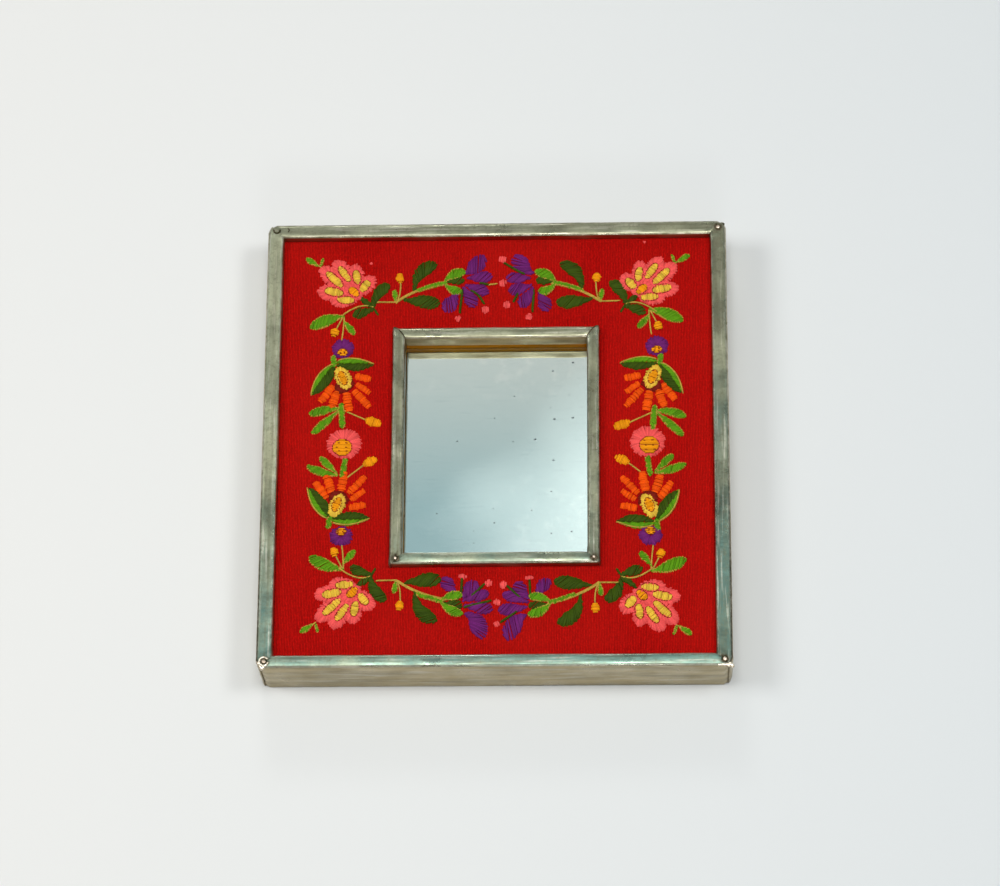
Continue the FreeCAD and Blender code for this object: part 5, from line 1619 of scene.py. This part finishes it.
class MIRROR_OT_embroider(Operator):
    """Sews the flowers, leaves and stems on the cloth"""
    bl_idname = "mirror.embroider"
    bl_label = "Embroidery"

    def execute(self, context):
        stitch = context.scene.mirror_stitch
        colours = context.scene.mirror_threads
        needle = Needle(stitch)
        for sides in ANCHOR_SHARES:
            Quarter(sides).sew(needle)
        tree = stitch_tree()
        for number, (thread, points) in enumerate(needle.laid.items()):
            runs = range(0, len(points), Needle.RUN)
            edges = [(start + step, start + step + 1) for start in runs for step in range(Needle.RUN - 1)]
            mesh = bpy.data.meshes.new(f"stitches_{thread}")
            mesh.from_pydata(points, edges, [])
            piece = add_object(f"stitches_{thread}", mesh)
            fine = FINE_THREADS.get(thread, 1.0)
            material = thread_material(f"{thread}_floss", getattr(colours, thread))
            run_tree(piece, tree, {"Thread Width": stitch.thread_width * fine,
                                   "Thread Height": stitch.thread_height * fine,
                                   "Seed": number, "Material": material})
            if thread == "brown":
                settle(piece, material, "thread_maroon")
            else:
                settle(piece, material, f"thread_{thread}", f"embroidery_{thread}")
        return {"FINISHED"}


# Glass

class MIRROR_OT_make_glass(Operator):
    """Lays the silvered pane behind the well"""
    bl_idname = "mirror.make_glass"
    bl_label = "Mirror Glass"

    def execute(self, context):
        glass = context.scene.mirror_glass
        low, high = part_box("mirror_glass")
        gap = Vector((glass.gap, glass.gap, glass.gap))
        back = high.z - glass.thickness
        pane = self.slab("mirror_pane", Vector((low.x, low.y, back)) + gap, high - gap, glass.bevel)
        settle(pane, glass_material(), "mirror", "mirror_glass")
        margin = Vector((glass.margin, glass.margin, 0.0))
        top = Vector((high.x, high.y, back)) - margin
        silver = self.slab("mirror_silvering", low + margin, top, 0.0)
        settle(silver, silver_material(), "mirror")
        return {"FINISHED"}

    @staticmethod
    def slab(name, low, high, bevel):
        """A flat slab between two corners, its edges ground to a bevel."""
        corners = [(x, y, z) for z in (low.z, high.z) for y in (low.y, high.y) for x in (low.x, high.x)]
        faces = ((0, 2, 3, 1), (4, 5, 7, 6), (0, 1, 5, 4), (2, 6, 7, 3), (0, 4, 6, 2), (1, 3, 7, 5))
        piece = new_piece(name, corners, faces)
        if bevel:
            with editing(piece.data) as work:
                bmesh.ops.bevel(work, geom=work.edges[:], offset=bevel, segments=3, profile=0.5,
                                affect="EDGES")
        return piece


# Wood

class MIRROR_OT_finish_wood(Operator):
    """Gives the rails, slats, battens, panel, card and boards their wood and fibre"""
    bl_idname = "mirror.finish_wood"
    bl_label = "Wood and Board"

    def execute(self, context):
        wood = context.scene.mirror_wood
        pine = {axis: wood_material(f"pine_{axis}", wood.pine, wood.pine_dark, axis) for axis in "xy"}
        stained = {axis: wood_material(f"stained_pine_{axis}", wood.stained, wood.stained_dark, axis, 2.0)
                   for axis in "xy"}
        for side in SIDES:
            axis = "x" if side in ("top", "bottom") else "y"
            dress(f"rail_{side}", pine[axis])
            dress(f"batten_{side}", pine[axis])
            dress(f"well_slat_{side}", stained[axis])
        dress("hanger_block", pine["x"])
        dress("front_panel", wood_material("plywood", wood.pine, wood.pine_dark, "x", 0.5))
        dress("back_board", board_material("hardboard", wood.board, wood.board_dark, 700.0))
        dress("mirror_backing_card", board_material("grey_board", wood.card, wood.card_dark, 900.0))
        return {"FINISHED"}


# Hanger

# The ring's wire and the rounding of its corners, and the strap's sheet, its bevel, the rounding of
# its nailed end, how far it is rolled round the bar, in degrees, and in how many steps each is drawn.
RING_WIRE = 0.9 * MM
RING_CORNER = 2.2 * MM
STRAP_SHEET = 1.0 * MM
STRAP_BEVEL = 0.18 * MM
STRAP_ROUNDING = 2.6 * MM
STRAP_ROLL = 322
FLAT_STEPS = 12
ROLL_STEPS = 20


class MIRROR_OT_make_hanger(Operator):
    """Bends the strap round the bar of the D-shaped ring"""
    bl_idname = "mirror.make_hanger"
    bl_label = "Hanger"

    def execute(self, context):
        steel = steel_material("hanger_steel", context.scene.mirror_steel.hanger, 0.24)
        low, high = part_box("hanger_ring")
        half = (high.x - low.x) / 2 - RING_WIRE
        bar = Vector((half - RING_CORNER, 0, 0))
        middle = HINGE - Vector((0, 0, RING_CORNER))
        places = arc_places(middle + bar, RING_CORNER, 90, 0, 8, upright=True)
        places += arc_places(middle, half, 0, -180, 40, upright=True)[1:]
        places += arc_places(middle - bar, RING_CORNER, 180, 90, 8, upright=True)[1:]
        ring = tube_along("hanging_ring", places, RING_WIRE, closed=True)
        settle(ring, steel, "hanger_steel", "hanger_ring", body="ring")
        settle(self.strap(), steel, "hanger_steel", "hanger_strap")
        return {"FINISHED"}

    @staticmethod
    def strap():
        """A strap nailed flat at one end and rolled round the ring's bar at the other."""
        low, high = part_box("hanger_strap")
        half = (high.x - low.x) / 2
        roll = high.z - HINGE.z - STRAP_SHEET / 2
        path = [Vector((low.y + step / FLAT_STEPS * (HINGE.y - low.y), HINGE.z + roll))
                for step in range(FLAT_STEPS + 1)]
        for step in range(1, ROLL_STEPS + 1):
            angle = math.radians(90 - STRAP_ROLL * step / ROLL_STEPS)
            path.append(Vector((HINGE.y + math.cos(angle) * roll, HINGE.z + math.sin(angle) * roll)))
        points = []
        for index, place in enumerate(path):
            before, after = path[max(0, index - 1)], path[min(len(path) - 1, index + 1)]
            heading = (after - before).normalized()
            normal = Vector((-heading.y, heading.x)) * (STRAP_SHEET / 2)
            from_end = place.x - low.y if index <= FLAT_STEPS else STRAP_ROUNDING
            inside = max(0.0, 1 - from_end / STRAP_ROUNDING)
            wide = half - STRAP_ROUNDING * (1 - math.sqrt(1 - inside * inside))
            flat = wide - STRAP_BEVEL
            section = ((-wide, 0.7), (-flat, 1.0), (flat, 1.0), (wide, 0.7),
                       (wide, -0.7), (flat, -1.0), (-flat, -1.0), (-wide, -0.7))
            points += [(x, place.x + normal.x * lift, place.y + normal.y * lift) for x, lift in section]
        ring = len(section)
        last = len(points) - ring
        ends = [tuple(range(ring)), tuple(range(last, last + ring))]
        return new_piece("hanger_strip", points, loft_faces(len(path), ring) + ends)


# Stage

# The photograph's view, worked out from the rim's corners and the box's back edge.
CAMERA_PLACE = Vector((0.09767, -0.86453, 2.33671))
CAMERA_AIM = Vector((0.00322, -0.00246, 0.0435))
CAMERA_ROLL = -6.342

# Soft lamps: name, place, size and power.
LAMPS = (
    ("overhead_softbox", (0.05, -0.28, 2.70), 0.8, 27.0),
    ("left_softbox", (-1.70, 0.0, 2.40), 1.0, 26.5),
    ("right_softbox", (1.15, 0.0, 2.40), 0.7, 17.0),
    ("far_window", (-0.30, 2.20, 1.70), 0.6, 8.0),
    ("near_window", (0.30, -2.20, 1.60), 0.6, 6.0),
)

# Which way the bright patch lies that the glass catches, and its colour.
GLOW_WAY = Vector((0.0, 0.312, 0.95)).normalized()
GLOW = (1.28, 1.30, 1.30)


class MIRROR_OT_set_stage(Operator):
    """Lays the pale floor, hangs the soft lamps and sets up the camera"""
    bl_idname = "mirror.set_stage"
    bl_label = "Stage"

    def execute(self, context):
        stage = context.scene.mirror_stage
        half = stage.floor_size / 2
        floor = new_piece("floor", [(-half, -half, 0), (half, -half, 0), (half, half, 0), (-half, half, 0)],
                          [(0, 1, 2, 3)])
        floor.data.materials.append(floor_material())
        for name, place, size, power in LAMPS:
            self.hang_lamp(name, Vector(place), size, power * stage.lamp_level)
        self.set_camera(context, stage)
        self.set_world(context, stage)
        context.scene.view_settings.view_transform = "Standard"
        return {"FINISHED"}

    @staticmethod
    def hang_lamp(name, place, size, power):
        """A round soft lamp that shines at the middle of the stage."""
        lamp = bpy.data.lights.new(name, "AREA")
        lamp.shape = "DISK"
        lamp.size = size
        lamp.energy = power
        holder = add_object(name, lamp)
        holder.location = place
        holder.rotation_euler = place.to_track_quat("Z", "Y").to_euler()

    @staticmethod
    def set_camera(context, stage):
        """The camera in the place where the photograph was taken."""
        data = bpy.data.cameras.new("camera")
        data.lens = stage.lens
        camera = add_object("camera", data)
        look = (CAMERA_AIM - CAMERA_PLACE).to_track_quat("-Z", "Y").to_matrix()
        roll = Matrix.Rotation(math.radians(CAMERA_ROLL), 3, "Z")
        camera.matrix_world = Matrix.Translation(CAMERA_PLACE) @ (look @ roll).to_4x4()
        context.scene.camera = camera

    @staticmethod
    def set_world(context, stage):
        """A pale room, greyer overhead, with the soft lights that the mirror's glass catches."""
        world = bpy.data.worlds.new("pale_room")
        context.scene.world = world
        world.use_nodes = True
        tree = world.node_tree
        direction = add_node(tree, "ShaderNodeTexCoord").outputs["Generated"]
        _, forward, upward = axes(tree, direction)
        room = mixed(tree, ranged(tree, upward, 0.1, 0.93), stage.room, stage.overhead)
        room = mixed(tree, ranged(tree, forward, 0.10, -0.25), room, stage.near_wall)
        beyond = times(tree, ranged(tree, forward, 0.335, 0.385), ranged(tree, upward, 0.80, 0.90))
        room = mixed(tree, beyond, room, stage.beyond)
        apart = add_node(tree, "ShaderNodeVectorMath", {0: direction, 1: GLOW_WAY}, operation="DISTANCE")
        drift = ranged(tree, noise_value(tree, direction, 22.0), 0.3, 0.7, -0.012, 0.012)
        glow = ranged(tree, plus(tree, apart.outputs["Value"], drift), 0.058, 0.012)
        room = mixed(tree, glow, room, GLOW)
        rays = add_node(tree, "ShaderNodeLightPath").outputs
        seen = calculated(tree, "MAXIMUM", rays["Is Camera Ray"], rays["Is Glossy Ray"])
        seen = calculated(tree, "MAXIMUM", seen, rays["Is Transmission Ray"])
        fill_inputs(tree, tree.nodes["Background"], {
            "Color": mixed(tree, seen, stage.fill_light, room), "Strength": 1.0})


# The add-on's panel and registration

STEPS = (MIRROR_OT_set_stage, MIRROR_OT_make_rim, MIRROR_OT_make_trim, MIRROR_OT_make_nails,
         MIRROR_OT_make_cloth, MIRROR_OT_embroider, MIRROR_OT_make_glass, MIRROR_OT_finish_wood,
         MIRROR_OT_make_hanger)
SETTINGS = {"mirror_tin": TinSizes, "mirror_cloth": ClothSizes, "mirror_stitch": StitchSizes,
            "mirror_threads": ThreadColours, "mirror_glass": GlassSizes, "mirror_wood": WoodColours,
            "mirror_steel": SteelColours, "mirror_stage": StageSizes}


class MIRROR_PT_pieces(Panel):
    """Lists the mirror's pieces, in the order in which they are made"""
    bl_label = "Tin Mirror"
    bl_idname = "MIRROR_PT_pieces"
    bl_space_type = "VIEW_3D"
    bl_region_type = "UI"
    bl_category = "Tin Mirror"

    def draw(self, context):
        for step in STEPS:
            self.layout.operator(step.bl_idname)
        for name, group in SETTINGS.items():
            box = self.layout.box()
            for setting in group.__annotations__:
                box.prop(getattr(context.scene, name), setting)


def register():
    for group in SETTINGS.values():
        bpy.utils.register_class(group)
    for name, group in SETTINGS.items():
        setattr(bpy.types.Scene, name, PointerProperty(type=group))
    for step in STEPS:
        bpy.utils.register_class(step)
    bpy.utils.register_class(MIRROR_PT_pieces)


def unregister():
    bpy.utils.unregister_class(MIRROR_PT_pieces)
    for step in reversed(STEPS):
        bpy.utils.unregister_class(step)
    for name in SETTINGS:
        delattr(bpy.types.Scene, name)
    for group in SETTINGS.values():
        bpy.utils.unregister_class(group)


def main():
    register()
    for step in STEPS:
        group, name = step.bl_idname.split(".")
        getattr(getattr(bpy.ops, group), name)()
    bpy.context.view_layer.update()


if __name__ == "__main__":
    main()
